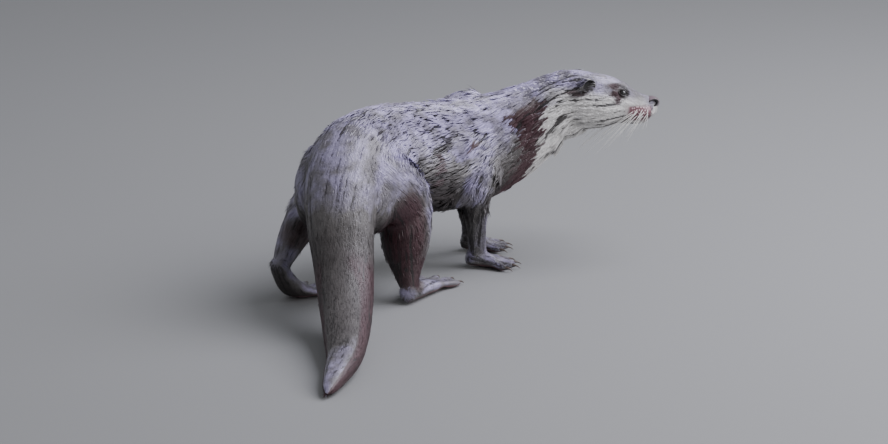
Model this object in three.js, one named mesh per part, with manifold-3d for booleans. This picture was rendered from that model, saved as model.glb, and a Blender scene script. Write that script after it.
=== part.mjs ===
// A Eurasian river otter, standing with its head turned to its right and its tail on the ground, at life size.
// Millimetres, +Z up. +X is the way the hips face, so the otter's right side is towards -Y.
// The body is a loft along the spine. Each limb is a chain of lofts, one for each bone with its flesh.
// The whole animal is joined first, then parted by thin cuts into head, neck, trunk, tail, legs and feet.
import * as THREE from "three";
import { mergeVertices } from "three/addons/utils/BufferGeometryUtils.js";
import Module from "manifold-3d";

const wasm = await Module();
wasm.setup();

// ---- Driving dimensions ----
const GAP = 0.3; // between touching pieces
const HEAD_ORIGIN = [176, -209, 244]; // between the ears
const HEAD_HEADING = -64; // degrees from +X, so turned to the right
const HEAD_PITCH = -4; // nose down
const HEAD_ROLL = 4; // crown leaning to the left
const EYE_RADIUS = 5.6;
const EYE_AT = [50, 26, -16]; // the left eye, in the head's frame
const EAR_AT = [0, 40.5, -6]; // the left ear, in the head's frame
const EAR_WIDTH = 24;
const EAR_HEIGHT = 19;
const EAR_THICKNESS = 11;
const EAR_RIM = 3.6; // width of the rim round an ear's hollow
const EAR_HOLLOW = 5; // half depth of the ball that hollows an ear
const EAR_TURN = 64; // degrees outward from straight ahead
const EAR_TILT = 26; // degrees, its top leaning out
const NOSE_AT = [106, 0, -30.5]; // the pad's middle, in the head's frame
const NOSE_SIZE = [10, 12, 9];
const WEB_THICKNESS = 3.2;
const WEB_HEIGHT = 3.7; // of the web's underside
const WEB_SCOOP = 0.15; // how far its edge runs out along a toe and in between two, by the toe's length
const TOE_ARCH = 4.5; // how much higher a toe's middle is at its root than its radius
const TOE_SINK = 2; // how far below the ground a toe would reach
const TOE_BEND = 0.87; // where along a toe its arch ends
const CLAW_RADIUS = 1.7;
const CLAW_LENGTH = 9;
const CLAW_DROP = 3.6; // how far a claw's point hooks down
const CLAW_PLACE = 0.97; // where along its toe a claw starts
const CURVE_STEP = 0.02; // to either side of a place on a curve, for the curve's direction there
const DOME_REACH = 0.5; // how far out a bone's end is domed, by its half thickness
const DOME = [[0.75, 0.72], [1, 0.3]]; // the dome's sections: how far out by its reach, and their scale
const BODY_SIDES = 18; // facets round the body
const LIMB_SIDES = 9;
const TOE_SIDES = 6;
const CLAW_SIDES = 4;
const SHIN_SPACE = [150, 84]; // length and width of the space round a lower leg
const FOOT_SPACE = [150, 90]; // length and width of the space round a foot
const FOOT_BACK = 10; // how far behind the ball of the foot that space's middle lies

// ---- Sections along the spine, from the tail's tip to the neck ----
// at: centre. heading: degrees from +X. side, top, bottom: half sizes of the section. square: 2 is an ellipse.
// rings: how many rings the loft puts from this section to the next, if not the usual two.
const SPINE = [
  { at: [-573, -128, 7], heading: 6, side: 4, top: 4, bottom: 5, square: 2 },
  { at: [-558, -126, 10], heading: 8, side: 11, top: 9, bottom: 10.5, square: 2, rings: 1 },
  { at: [-520, -120, 15], heading: 13, side: 18, top: 14.5, bottom: 15.5, square: 2.1, rings: 1 },
  { at: [-470, -110, 20], heading: 18, side: 24, top: 19, bottom: 20.5, square: 2.1, rings: 1 },
  { at: [-415, -91, 26], heading: 20, side: 29.5, top: 24, bottom: 26.5, square: 2.1, rings: 1 },
  { at: [-360, -70, 36], heading: 20, side: 34, top: 29, bottom: 33, square: 2.1, rings: 1 },
  { at: [-312, -50, 57], heading: 20, side: 38, top: 32, bottom: 34, square: 2.1, rings: 1 },
  { at: [-276, -33, 88], heading: 18, side: 41, top: 36, bottom: 36, square: 2.1, rings: 1 },
  { at: [-248, -19, 122], heading: 12, side: 45, top: 42, bottom: 39, square: 2.1 },
  { at: [-213, -8, 156], heading: 5, side: 51, top: 52, bottom: 48, square: 2.1 },
  { at: [-165, -3, 179], heading: 0, side: 59, top: 61, bottom: 62, square: 2.15 },
  { at: [-95, -7, 176], heading: -8, side: 63, top: 68, bottom: 70, square: 2.15 },
  { at: [-27, -22, 163], heading: -17, side: 65, top: 73, bottom: 76, square: 2.15 },
  { at: [37, -49, 151], heading: -28, side: 64, top: 75, bottom: 73, square: 2.1 },
  { at: [80, -77, 151], heading: -38, side: 59, top: 73, bottom: 71, square: 2.1 },
  { at: [112, -107, 165], heading: -47, side: 53, top: 64, bottom: 67, square: 2.1 },
  { at: [140, -145, 188], heading: -56, side: 48, top: 51, bottom: 56, square: 2.1 },
];
// Lumps on the body: the left shoulder blade, which stands above the back, the right shoulder, and the seat on
// both sides of the tail.
const BODY_LUMPS = [
  { at: [97, -66, 205], size: [42, 17, 27], turn: -48 },
  { at: [8, -82, 172], size: [40, 21, 30], turn: -28 },
  { at: [-188, -40, 142], size: [42, 30, 42], turn: -8 },
  { at: [-192, 36, 142], size: [42, 30, 42], turn: 8 },
];
const TAIL_CUTS = [
  { at: [-250, -20, 122], heading: 12, lean: 50 },
  { at: [-380, -78, 32], heading: 20, lean: 12 },
  { at: [-478, -112, 20], heading: 17, lean: 6 },
];
const NECK_CUTS = [
  { at: [112, -107, 165], heading: -47, lean: 28 },
  { at: [157, -170, 212], heading: -62, lean: 12 },
];

// ---- Sections of the head, in its own frame: x ahead of the ears, z above their level ----
const HEAD = [
  { at: [-26, 0, -31], side: 45, top: 40, bottom: 43, square: 2.15, rings: 1 },
  { at: [2, 0, -29], side: 46.5, top: 38, bottom: 42, square: 2.3, rings: 1 },
  { at: [27, 0, -28.5], side: 43.5, top: 34, bottom: 40, square: 2.3, rings: 1 },
  { at: [46, 0, -30], side: 35.5, top: 29.5, bottom: 34, square: 2.2, rings: 1 },
  { at: [61, 0, -33], side: 28, top: 23.5, bottom: 28, square: 2.1, rings: 1 },
  { at: [75, 0, -34.5], side: 22.5, top: 18, bottom: 23.5, square: 2.1, rings: 1 },
  { at: [88, 0, -35], side: 14, top: 15, bottom: 17.5, square: 2.1, rings: 1 },
  { at: [98, 0, -35], side: 10, top: 12, bottom: 14.5, square: 2.2 },
  { at: [104, 0, -35], side: 8, top: 7, bottom: 9, square: 2.1 },
];
// Lumps on the head: whisker pads, chin and throat. Those off the middle are mirrored.
const HEAD_LUMPS = [
  { at: [82, 12, -41.5], size: [17, 13.5, 11.5] },
  { at: [70, 0, -53], size: [24, 15, 9] },
  { at: [-30, 0, -60], size: [48, 36, 25] },
];

// ---- Limbs ----
// bones: each runs through its sections; wide is across the limb and deep fore and aft.
// hip: the tilted block of space that parts the upper leg from the body. shin: the upright one below it, clear
// of the belly. ankle: height of the cut there. ball: the ball of the foot on the ground.
const LIMBS = {
  hind_right: {
    heading: -8,
    bones: [
      [
        { at: [-178, -32, 176], wide: 34, deep: 50 },
        { at: [-152, -48, 156], wide: 36, deep: 50 },
        { at: [-122, -58, 130], wide: 34, deep: 42 },
        { at: [-102, -64, 106], wide: 24, deep: 28 },
      ],
      [
        { at: [-116, -60, 128], wide: 33, deep: 37 },
        { at: [-122, -61, 98], wide: 36, deep: 34 },
        { at: [-132, -64, 68], wide: 33, deep: 27 },
        { at: [-142, -70, 40], wide: 21, deep: 17 },
        { at: [-148, -75, 22], wide: 13, deep: 14 },
      ],
      [
        { at: [-157, -76, 16], wide: 11.5, deep: 14 },
        { at: [-138, -76, 13], wide: 15, deep: 13 },
        { at: [-108, -76, 9.8], wide: 20, deep: 11.5 },
        { at: [-88, -76, 7.4], wide: 24, deep: 9 },
      ],
    ],
    hip: { at: [-165, -104, 130], size: [150, 110, 190], tilt: -24 },
    shin: { at: [-125, -72], clear: 106 },
    ankle: 42,
    ball: [-94, -76],
    toeHeading: 2,
    foot: "hind",
  },
  hind_left: {
    heading: 6,
    bones: [
      [
        { at: [-180, 30, 176], wide: 32, deep: 48 },
        { at: [-160, 47, 154], wide: 33, deep: 50 },
        { at: [-136, 60, 132], wide: 27, deep: 38 },
        { at: [-124, 66, 112], wide: 20, deep: 26 },
      ],
      [
        { at: [-136, 62, 130], wide: 26, deep: 34 },
        { at: [-158, 68, 106], wide: 25, deep: 31 },
        { at: [-188, 75, 80], wide: 20, deep: 23 },
        { at: [-216, 76, 60], wide: 14, deep: 15 },
      ],
      [
        { at: [-230, 77, 60], wide: 12, deep: 11 },
        { at: [-220, 77, 48], wide: 14, deep: 13 },
        { at: [-206, 75, 30], wide: 16.5, deep: 12 },
        { at: [-190, 71, 16], wide: 20.5, deep: 11 },
        { at: [-172, 67, 7.6], wide: 24, deep: 9.5 },
      ],
    ],
    hip: { at: [-182, 106, 130], size: [170, 116, 190], tilt: 24 },
    shin: { at: [-170, 72], clear: 106 },
    ankle: 42,
    ball: [-180, 68],
    toeHeading: -8,
    foot: "hind",
  },
  fore_right: {
    heading: -40,
    bones: [
      [
        { at: [62, -94, 160], wide: 28, deep: 42 },
        { at: [50, -104, 138], wide: 24, deep: 37 },
        { at: [30, -106, 116], wide: 19, deep: 27 },
        { at: [18, -104, 100], wide: 14, deep: 16 },
      ],
      [
        { at: [24, -102, 112], wide: 19, deep: 24 },
        { at: [31, -103, 90], wide: 17, deep: 20 },
        { at: [37, -103, 66], wide: 14, deep: 15.5 },
        { at: [42, -102, 42], wide: 12.5, deep: 13.5 },
        { at: [46, -101, 20], wide: 13, deep: 12 },
      ],
      [
        { at: [40, -93, 15], wide: 12, deep: 13 },
        { at: [47, -104, 12], wide: 17, deep: 12 },
        { at: [54, -117, 7.6], wide: 21, deep: 9.5 },
      ],
    ],
    hip: { at: [38, -138, 112], size: [120, 100, 150], tilt: -22 },
    shin: { at: [42, -104], clear: 88 },
    ankle: 36,
    ball: [50, -110],
    toeHeading: -64,
    foot: "fore",
  },
  fore_left: {
    heading: -42,
    bones: [
      [
        { at: [112, -66, 160], wide: 26, deep: 42 },
        { at: [118, -58, 138], wide: 23, deep: 36 },
        { at: [108, -52, 116], wide: 18, deep: 26 },
        { at: [100, -52, 100], wide: 14, deep: 16 },
      ],
      [
        { at: [103, -54, 112], wide: 18, deep: 23 },
        { at: [110, -57, 88], wide: 16.5, deep: 19 },
        { at: [116, -61, 62], wide: 14, deep: 15 },
        { at: [120, -64, 40], wide: 12.5, deep: 13 },
        { at: [122, -65, 20], wide: 13, deep: 12 },
      ],
      [
        { at: [117, -58, 15], wide: 12, deep: 13 },
        { at: [124, -68, 12], wide: 17, deep: 12 },
        { at: [133, -79, 7.6], wide: 21, deep: 9.5 },
      ],
    ],
    hip: { at: [126, -16, 112], size: [112, 92, 150], tilt: 20 },
    shin: { at: [114, -56], clear: 88 },
    ankle: 36,
    ball: [128, -73],
    toeHeading: -52,
    foot: "fore",
  },
};
for (const [name, limb] of Object.entries(LIMBS)) limb.side = name.endsWith("left") ? 1 : -1;

// ---- Feet: toe lengths from the ball, inner to outer; degrees and step between toes; radius; reach of the web ----
const FEET = {
  fore: { toes: [30, 39, 43, 41, 33], spread: 17, radius: 6, step: 6.2, web: 0.62 },
  hind: { toes: [38, 52, 58, 57, 48], spread: 13, radius: 6.4, step: 7.5, web: 0.72 },
};

// ---- Small tools ----
const radians = THREE.MathUtils.degToRad;

/** Value at u of the Catmull-Rom curve through the numbers in values, whose ends are doubled. */
function along(values, u) {
  const last = values.length - 1;
  const i = Math.min(Math.floor(u), last - 1);
  const t = u - i;
  const [a, b, c, d] = [i - 1, i, i + 1, i + 2].map((k) => values[THREE.MathUtils.clamp(k, 0, last)]);
  const cubic = (3 * b - 3 * c + d - a) * t ** 3;
  return 0.5 * (2 * b + (c - a) * t + (2 * a - 5 * b + 4 * c - d) * t ** 2 + cubic);
}

/** One closed geometry over rings of points, each end closed by a fan to the ring's own middle. */
function skinOver(rings) {
  const sides = rings[0].length;
  const points = rings.flat();
  const middle = (ring) => ring.reduce((sum, p) => sum.add(p), new THREE.Vector3()).divideScalar(sides);
  points.push(middle(rings[0]), middle(rings.at(-1)));
  const index = [];
  for (let r = 0; r + 1 < rings.length; r++) {
    for (let s = 0; s < sides; s++) {
      const a = r * sides + s;
      const b = r * sides + ((s + 1) % sides);
      index.push(a, b, a + sides, b, b + sides, a + sides);
    }
  }
  const [first, end, top] = [points.length - 2, points.length - 1, (rings.length - 1) * sides];
  for (let s = 0; s < sides; s++) {
    const next = (s + 1) % sides;
    index.push(first, next, s, end, top + s, top + next);
  }
  const geometry = new THREE.BufferGeometry().setFromPoints(points);
  return geometry.setIndex(index);
}

/** A closed geometry as a manifold solid, whichever way its faces point. */
function solid(geometry) {
  const bare = geometry.clone();
  bare.deleteAttribute("normal");
  bare.deleteAttribute("uv");
  const merged = mergeVertices(bare, 1e-4);
  const triVerts = new Uint32Array(merged.index.array);
  const build = () =>
    new wasm.Manifold(new wasm.Mesh({ numProp: 3, vertProperties: merged.attributes.position.array, triVerts }));
  let made = build();
  if (made.volume() < 0) {
    for (let i = 0; i < triVerts.length; i += 3) {
      [triVerts[i + 1], triVerts[i + 2]] = [triVerts[i + 2], triVerts[i + 1]];
    }
    made = build();
  }
  return made;
}

const joined = (solids) => solids.reduce((whole, piece) => whole.add(piece));

/** The largest of a solid's separate bodies, so that no crumb from a cut is kept. */
const largest = (shape) => shape.decompose().sort((a, b) => b.volume() - a.volume())[0];

/**
 * A loft through sections. Each ring is a superellipse across the curve of centres: its side lies level, across the
 * heading, then turned by the roll; its top and bottom are square to that and to the curve.
 */
function loft(sections, ringsPerSpan, sides) {
  const places = sections.slice(0, -1).flatMap(({ rings = ringsPerSpan }, i) =>
    Array.from({ length: rings }, (_, r) => i + r / rings),
  );
  const field = (name, fallback) => sections.map((s) => s[name] ?? fallback);
  const [xs, ys, zs] = [0, 1, 2].map((k) => sections.map((s) => s.at[k]));
  const [headings, rolls, halves] = [field("heading", 0), field("roll", 0), field("side")];
  const [tops, bottoms, squares] = [field("top"), field("bottom"), field("square", 2)];
  const centre = (u) => new THREE.Vector3(along(xs, u), along(ys, u), along(zs, u));
  const spans = sections.length - 1;
  const rings = [];
  for (const u of [...places, spans]) {
    const ahead = centre(Math.min(u + CURVE_STEP, spans)).sub(centre(Math.max(u - CURVE_STEP, 0))).normalize();
    const heading = radians(along(headings, u));
    const side = new THREE.Vector3(-Math.sin(heading), Math.cos(heading), 0);
    side.addScaledVector(ahead, -side.dot(ahead)).normalize().applyAxisAngle(ahead, radians(along(rolls, u)));
    const up = new THREE.Vector3().crossVectors(ahead, side);
    const bend = (value) => Math.sign(value) * Math.abs(value) ** (2 / along(squares, u));
    const ring = [];
    for (let s = 0; s < sides; s++) {
      const turn = (2 * Math.PI * s) / sides;
      const [across, rise] = [bend(Math.cos(turn)) * along(halves, u), bend(Math.sin(turn))];
      const height = rise * along(rise > 0 ? tops : bottoms, u);
      ring.push(centre(u).addScaledVector(side, across).addScaledVector(up, height));
    }
    rings.push(ring);
  }
  return solid(skinOver(rings));
}

/** A section scaled in its own plane and moved out along the bone. */
const closing = (section, out, reach, by) => ({
  ...section,
  at: new THREE.Vector3(...section.at).addScaledVector(out, reach).toArray(),
  side: section.side * by,
  top: section.top * by,
  bottom: section.bottom * by,
});

/** A bone of round sections, each end drawn in to a dome. */
function bone(sections, heading, ringsPerSpan, sides) {
  const full = sections.map((s) => ({ at: s.at, heading, side: s.wide, top: s.deep, bottom: s.deep }));
  const dome = (end, next) => {
    const out = new THREE.Vector3(...end.at).sub(new THREE.Vector3(...next.at)).normalize();
    const reach = DOME_REACH * Math.min(end.side, end.top);
    return DOME.map(([share, scale]) => closing(end, out, reach * share, scale));
  };
  const [near, tip] = dome(full[0], full[1]);
  return loft([tip, near, ...full, ...dome(full.at(-1), full.at(-2))], ringsPerSpan, sides);
}

/** An ellipsoid, turned about the vertical. */
function lump({ at, size, turn = 0 }, across = 9, down = 5) {
  return solid(new THREE.SphereGeometry(1, across, down).scale(...size).rotateZ(radians(turn)).translate(...at));
}

// ---- The body and the head ----
const headFrame = new THREE.Matrix4()
  .makeTranslation(...HEAD_ORIGIN)
  .multiply(new THREE.Matrix4().makeRotationZ(radians(HEAD_HEADING)))
  .multiply(new THREE.Matrix4().makeRotationY(radians(-HEAD_PITCH)))
  .multiply(new THREE.Matrix4().makeRotationX(radians(-HEAD_ROLL)));

const inHead = (shape) => shape.transform(headFrame.elements);

/** Both of a mirrored pair: the right one, then the left. */
const bothSides = (make) => [-1, 1].map(make);

/** The whole length from the tail's tip to the nose as one loft, grown all round. */
function spineAndSkull(grow = 0) {
  const skull = HEAD.map((s) => {
    const at = new THREE.Vector3(...s.at).applyMatrix4(headFrame).toArray();
    return { ...s, at, heading: HEAD_HEADING, roll: -HEAD_ROLL };
  });
  const swollen = (s) => ({ ...s, side: s.side + grow, top: s.top + grow, bottom: s.bottom + grow });
  return loft([...SPINE, ...skull].map(swollen), 2, BODY_SIDES);
}

/** The body with the lumps that stand out of it. */
function bodyWhole() {
  const faceLumps = HEAD_LUMPS.flatMap(({ at: [x, y, z], size }) =>
    (y ? [-y, y] : [0]).map((across) => inHead(lump({ at: [x, across, z], size }))),
  );
  return joined([spineAndSkull(), ...faceLumps, ...BODY_LUMPS.map((blade) => lump(blade))]);
}

/** A small ear: a thick round leaf facing out and forward, with a hollow in its front. */
function ear(side) {
  const leaf = new THREE.SphereGeometry(1, 9, 6).scale(EAR_THICKNESS / 2, EAR_WIDTH / 2, EAR_HEIGHT / 2);
  const cup = new THREE.SphereGeometry(1, 8, 4);
  cup.scale(EAR_HOLLOW, EAR_WIDTH / 2 - EAR_RIM, EAR_HEIGHT / 2 - EAR_RIM).translate(EAR_THICKNESS / 2, 0, 0);
  const placed = new THREE.Matrix4()
    .makeTranslation(EAR_AT[0], side * EAR_AT[1], EAR_AT[2])
    .multiply(new THREE.Matrix4().makeRotationZ(radians(side * EAR_TURN)))
    .multiply(new THREE.Matrix4().makeRotationX(radians(side * -EAR_TILT)));
  return inHead(solid(leaf).subtract(solid(cup)).transform(placed.elements));
}

function eyeBall(side, grow) {
  const at = [EYE_AT[0], side * EYE_AT[1], EYE_AT[2]];
  return inHead(lump({ at, size: Array(3).fill(EYE_RADIUS + grow) }, 9, 6));
}

/** The room that the nose pad takes up at the tip of the muzzle. */
const noseRoom = (grow) => inHead(lump({ at: NOSE_AT, size: NOSE_SIZE.map((half) => half + grow) }));

// ---- Legs and feet ----
/** A limb's upper bone, then those below it. */
const bonesOf = (limb) => limb.bones.map((sections) => bone(sections, limb.heading, 1, LIMB_SIDES));

/** The point at a distance along a heading from a point on the ground, at a height. */
function onward([x, y], heading, distance, height) {
  return [x + distance * Math.cos(radians(heading)), y + distance * Math.sin(radians(heading)), height];
}

/** Root, heading, length and radius of each toe, from the inner one. */
function toesOf(limb) {
  const { toes, spread, radius, step } = FEET[limb.foot];
  return toes.map((length, i) => {
    const outward = (i - 2) * limb.side;
    const root = onward(limb.ball, limb.toeHeading + 90, outward * step, 0);
    return { root, heading: limb.toeHeading + outward * spread, length, radius };
  });
}

/** A toe, arched, with its tip drawn in; its underside reaches just below the ground. */
function toe({ root, heading, length, radius }, grow = 0) {
  const section = (share, height, half) => ({
    at: onward(root, heading, length * share, height),
    heading,
    side: half + grow,
    top: half + grow,
    bottom: half + grow,
  });
  const arch = [
    section(0, radius + TOE_ARCH, radius),
    section(TOE_BEND, radius - TOE_SINK, radius),
    section(1, radius - TOE_SINK, radius / 2),
  ];
  return loft(arch, 1, TOE_SIDES);
}

/** The web: a sheet of skin between the toes, its free edge scooped between each pair. */
function web(limb) {
  const toes = toesOf(limb);
  const reach = FEET[limb.foot].web;
  const outline = new THREE.Shape();
  const flat = ([x, y]) => [x, y];
  outline.moveTo(...flat(toes[0].root));
  toes.forEach((t, i) => {
    const edge = onward(t.root, t.heading, t.length * (reach + WEB_SCOOP), 0);
    if (i === 0) return outline.lineTo(...flat(edge));
    const before = toes[i - 1];
    const middle = [0, 1].map((k) => (before.root[k] + t.root[k]) / 2);
    const scoop = onward(middle, (before.heading + t.heading) / 2, t.length * (reach - WEB_SCOOP), 0);
    return outline.quadraticCurveTo(...flat(scoop), ...flat(edge));
  });
  outline.lineTo(...flat(toes.at(-1).root));
  const sheet = new THREE.ExtrudeGeometry(outline, { depth: WEB_THICKNESS, bevelEnabled: false, curveSegments: 2 });
  return solid(sheet.translate(0, 0, WEB_HEIGHT));
}

/** A claw: a small hooked cone from the tip of a toe. */
function claw({ root, heading, length, radius }) {
  const section = (out, height, half) => ({
    at: onward(root, heading, length * CLAW_PLACE + out, height),
    heading,
    side: half,
    top: half,
    bottom: half,
  });
  const top = radius - CLAW_RADIUS / 3;
  const hook = [
    section(-CLAW_RADIUS, top, CLAW_RADIUS),
    section(CLAW_LENGTH / 2, top, CLAW_RADIUS),
    section(CLAW_LENGTH, top - CLAW_DROP, CLAW_RADIUS / 4),
  ];
  return loft(hook, 1, CLAW_SIDES);
}

// ---- Everything joined, then parted ----
/** The part of a shape above the ground, so that what rests there has a flat. */
const aboveGround = (shape) => shape.trimByPlane([0, 0, 1], 0);

/** The space that a leg is parted from the body by, turned with the limb: tilted inward at the hip, upright below. */
function legSpace({ hip, shin, heading }, grow) {
  const upper = new THREE.BoxGeometry(...hip.size.map((edge) => edge + 2 * grow));
  upper.rotateX(radians(hip.tilt)).rotateZ(radians(heading)).translate(...hip.at);
  const lower = new THREE.BoxGeometry(SHIN_SPACE[0] + 2 * grow, SHIN_SPACE[1] + 2 * grow, shin.clear + grow);
  lower.rotateZ(radians(heading)).translate(...shin.at, (shin.clear + grow) / 2);
  return solid(upper).add(solid(lower));
}

/** The block of space round a foot, up to its ankle. */
function footSpace({ ball, toeHeading, ankle }, grow) {
  const block = new THREE.BoxGeometry(FOOT_SPACE[0] + 2 * grow, FOOT_SPACE[1] + 2 * grow, ankle);
  block.rotateZ(radians(toeHeading)).translate(ball[0] - FOOT_BACK, ball[1], ankle / 2 + grow);
  return solid(block);
}

/** A shape's parts ahead of and behind a plane across a heading, its top leaning back, with a gap. */
function partedAt(shape, { at, heading, lean }) {
  const ahead = new THREE.Vector3(1, 0, 0)
    .applyAxisAngle(new THREE.Vector3(0, 1, 0), radians(-lean))
    .applyAxisAngle(new THREE.Vector3(0, 0, 1), radians(heading));
  const offset = ahead.dot(new THREE.Vector3(...at));
  const front = shape.trimByPlane(ahead.toArray(), offset + GAP / 2);
  const back = shape.trimByPlane(ahead.clone().negate().toArray(), -(offset - GAP / 2));
  return [front, back];
}

const pieces = {};
const keep = (name, shape) => (pieces[name] = largest(shape));

// The tail comes off before the legs go on, so that its slanting cut passes the ankles by.
const [body, tail] = partedAt(aboveGround(bodyWhole()), TAIL_CUTS[0]);
const [tailRoot, behindRoot] = partedAt(tail, TAIL_CUTS[1]);
const [tailMiddle, tailTip] = partedAt(behindRoot, TAIL_CUTS[2]);
keep("tail_root", tailRoot);
keep("tail_middle", tailMiddle);
keep("tail_tip", tailTip);

const legsOn = Object.values(LIMBS).flatMap((limb) => {
  const [upper, ...lower] = bonesOf(limb);
  return [partedAt(upper, TAIL_CUTS[0])[0], ...lower];
});
const [neckAndHead, trunkAndLegs] = partedAt(aboveGround(joined([body, ...legsOn])), NECK_CUTS[0]);
const [head, neck] = partedAt(neckAndHead, NECK_CUTS[1]);
keep("neck", neck);

let trunk = trunkAndLegs;
for (const [name, limb] of Object.entries(LIMBS)) {
  const foot = trunk.intersect(footSpace(limb, 0));
  trunk = trunk.subtract(footSpace(limb, GAP));
  keep(`foot_${name}`, joined([foot, ...toesOf(limb).map((t) => aboveGround(toe(t))), web(limb)]));
  keep(`leg_${name}`, trunk.intersect(legSpace(limb, 0)));
  trunk = trunk.subtract(legSpace(limb, GAP));
}
keep("trunk", trunk);

keep("nose", head.intersect(noseRoom(0)));
const eyeRooms = bothSides((side) => eyeBall(side, GAP));
keep("head", eyeRooms.reduce((shape, room) => shape.subtract(room), head.subtract(noseRoom(GAP))));
for (const [side, name] of [[-1, "right"], [1, "left"]]) {
  keep(`eye_${name}`, eyeBall(side, 0));
  keep(`ear_${name}`, ear(side).subtract(spineAndSkull(GAP)));
}

for (const [name, limb] of Object.entries(LIMBS)) {
  toesOf(limb).forEach((t, i) => {
    keep(`claw_${name}_${i + 1}`, aboveGround(claw(t)).subtract(toe(t, GAP)));
  });
}

// ---- Colours and meshes ----
const COLOURS = {
  fur: new THREE.MeshStandardMaterial({ color: 0x5b4d49, roughness: 0.5, metalness: 0 }),
  nose: new THREE.MeshStandardMaterial({ color: 0x2a2124, roughness: 0.35, metalness: 0 }),
  eye: new THREE.MeshStandardMaterial({ color: 0x0d0b0c, roughness: 0.05, metalness: 0 }),
  claw: new THREE.MeshStandardMaterial({ color: 0x54463f, roughness: 0.4, metalness: 0 }),
};

function meshOf(name, shape) {
  const { vertProperties, triVerts, numProp, numVert } = shape.getMesh();
  const positions = new Float32Array(numVert * 3);
  for (let i = 0; i < numVert; i++) positions.set(vertProperties.subarray(i * numProp, i * numProp + 3), i * 3);
  const geometry = new THREE.BufferGeometry();
  geometry.setAttribute("position", new THREE.BufferAttribute(positions, 3));
  geometry.setIndex(new THREE.BufferAttribute(triVerts, 1));
  const mesh = new THREE.Mesh(geometry, COLOURS[name.split("_")[0]] ?? COLOURS.fur);
  mesh.name = name;
  return mesh;
}

const otter = new THREE.Group();
for (const [name, shape] of Object.entries(pieces)) otter.add(meshOf(name, shape));

// The origin is on the ground, under the middle of the otter's own box.
const middle = new THREE.Box3().setFromObject(otter).getCenter(new THREE.Vector3());
otter.position.set(-middle.x, -middle.y, 0);

export default otter;
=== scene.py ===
"""A wet river otter, standing with its head turned to its right: one skin under a coat of solid mesh locks.

Shapes are worked out in millimetres in the otter's own frame, +X the way the hips face, +Y its left and +Z up, and
put into meshes in metres in the frame's place. The body, limbs and toes are lofts: a superellipse carried along a
curve. They are joined into one skin, which is smoothed, given its lids, folds and mouth, and then sown with locks.
"""

import bmesh
import bpy
import numpy as np
from mathutils import Matrix, Vector, kdtree


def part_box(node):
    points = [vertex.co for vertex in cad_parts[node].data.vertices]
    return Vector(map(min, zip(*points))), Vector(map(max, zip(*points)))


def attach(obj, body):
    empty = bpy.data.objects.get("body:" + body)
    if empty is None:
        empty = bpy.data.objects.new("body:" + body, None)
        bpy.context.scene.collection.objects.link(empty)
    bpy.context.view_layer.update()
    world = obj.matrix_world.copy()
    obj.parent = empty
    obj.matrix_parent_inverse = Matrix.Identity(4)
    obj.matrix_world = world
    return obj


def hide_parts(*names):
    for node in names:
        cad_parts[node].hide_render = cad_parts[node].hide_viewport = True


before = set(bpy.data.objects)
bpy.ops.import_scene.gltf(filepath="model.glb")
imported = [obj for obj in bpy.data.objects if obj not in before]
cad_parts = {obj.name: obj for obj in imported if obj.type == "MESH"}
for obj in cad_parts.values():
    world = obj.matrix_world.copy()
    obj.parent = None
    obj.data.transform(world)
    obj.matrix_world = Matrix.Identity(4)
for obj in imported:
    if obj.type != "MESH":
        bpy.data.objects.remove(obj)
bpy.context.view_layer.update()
RNG = np.random.default_rng(20)
MM = 1000.0  # to the metre
FULL_TURN = 2 * np.pi

# ---- The head's own frame: x ahead of the ears, y to its left, z above their level ----
HEAD_ORIGIN = np.array([176.0, -209.0, 244.0])
HEAD_HEADING = -64.0
HEAD_PITCH = -4.0
HEAD_ROLL = 4.0
EYE_AT = np.array([50.0, 26.0, -16.0])  # the left one
EYE_RADIUS = 5.6
EAR_AT = np.array([0.0, 40.5, -6.0])  # the left one
EAR_TURN = 64.0  # degrees outward from straight ahead
EAR_TILT = 26.0
NOSE_AT = np.array([95.0, 0.0, -29.8])
LEFT = np.array([1.0, 1.0, 1.0])
RIGHT = np.array([1.0, -1.0, 1.0])


def turning(axis, degrees):
    """The 3 by 3 matrix that turns a column by degrees about one axis, 0 to 2."""
    return np.array(Matrix.Rotation(np.radians(degrees), 3, "XYZ"[axis]))


HEAD_TURN = turning(2, HEAD_HEADING) @ turning(1, -HEAD_PITCH) @ turning(0, -HEAD_ROLL)


def from_head(points):
    """Points of the head's frame in the otter's frame."""
    return points @ HEAD_TURN.T + HEAD_ORIGIN


def into_head(points):
    """Points of the otter's frame in the head's frame."""
    return (points - HEAD_ORIGIN) @ HEAD_TURN


def frame_shift():
    """How far the otter's frame is moved in the row's frame, in mm: from where the left eye is in both."""
    low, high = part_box("eye_left")
    return (np.array(low) + np.array(high)) / 2 * MM - from_head(EYE_AT)


SHIFT = frame_shift()


def to_metres(points):
    """Points of the otter's frame, in mm, in the row's frame, in metres."""
    return (points + SHIFT) / MM


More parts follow.
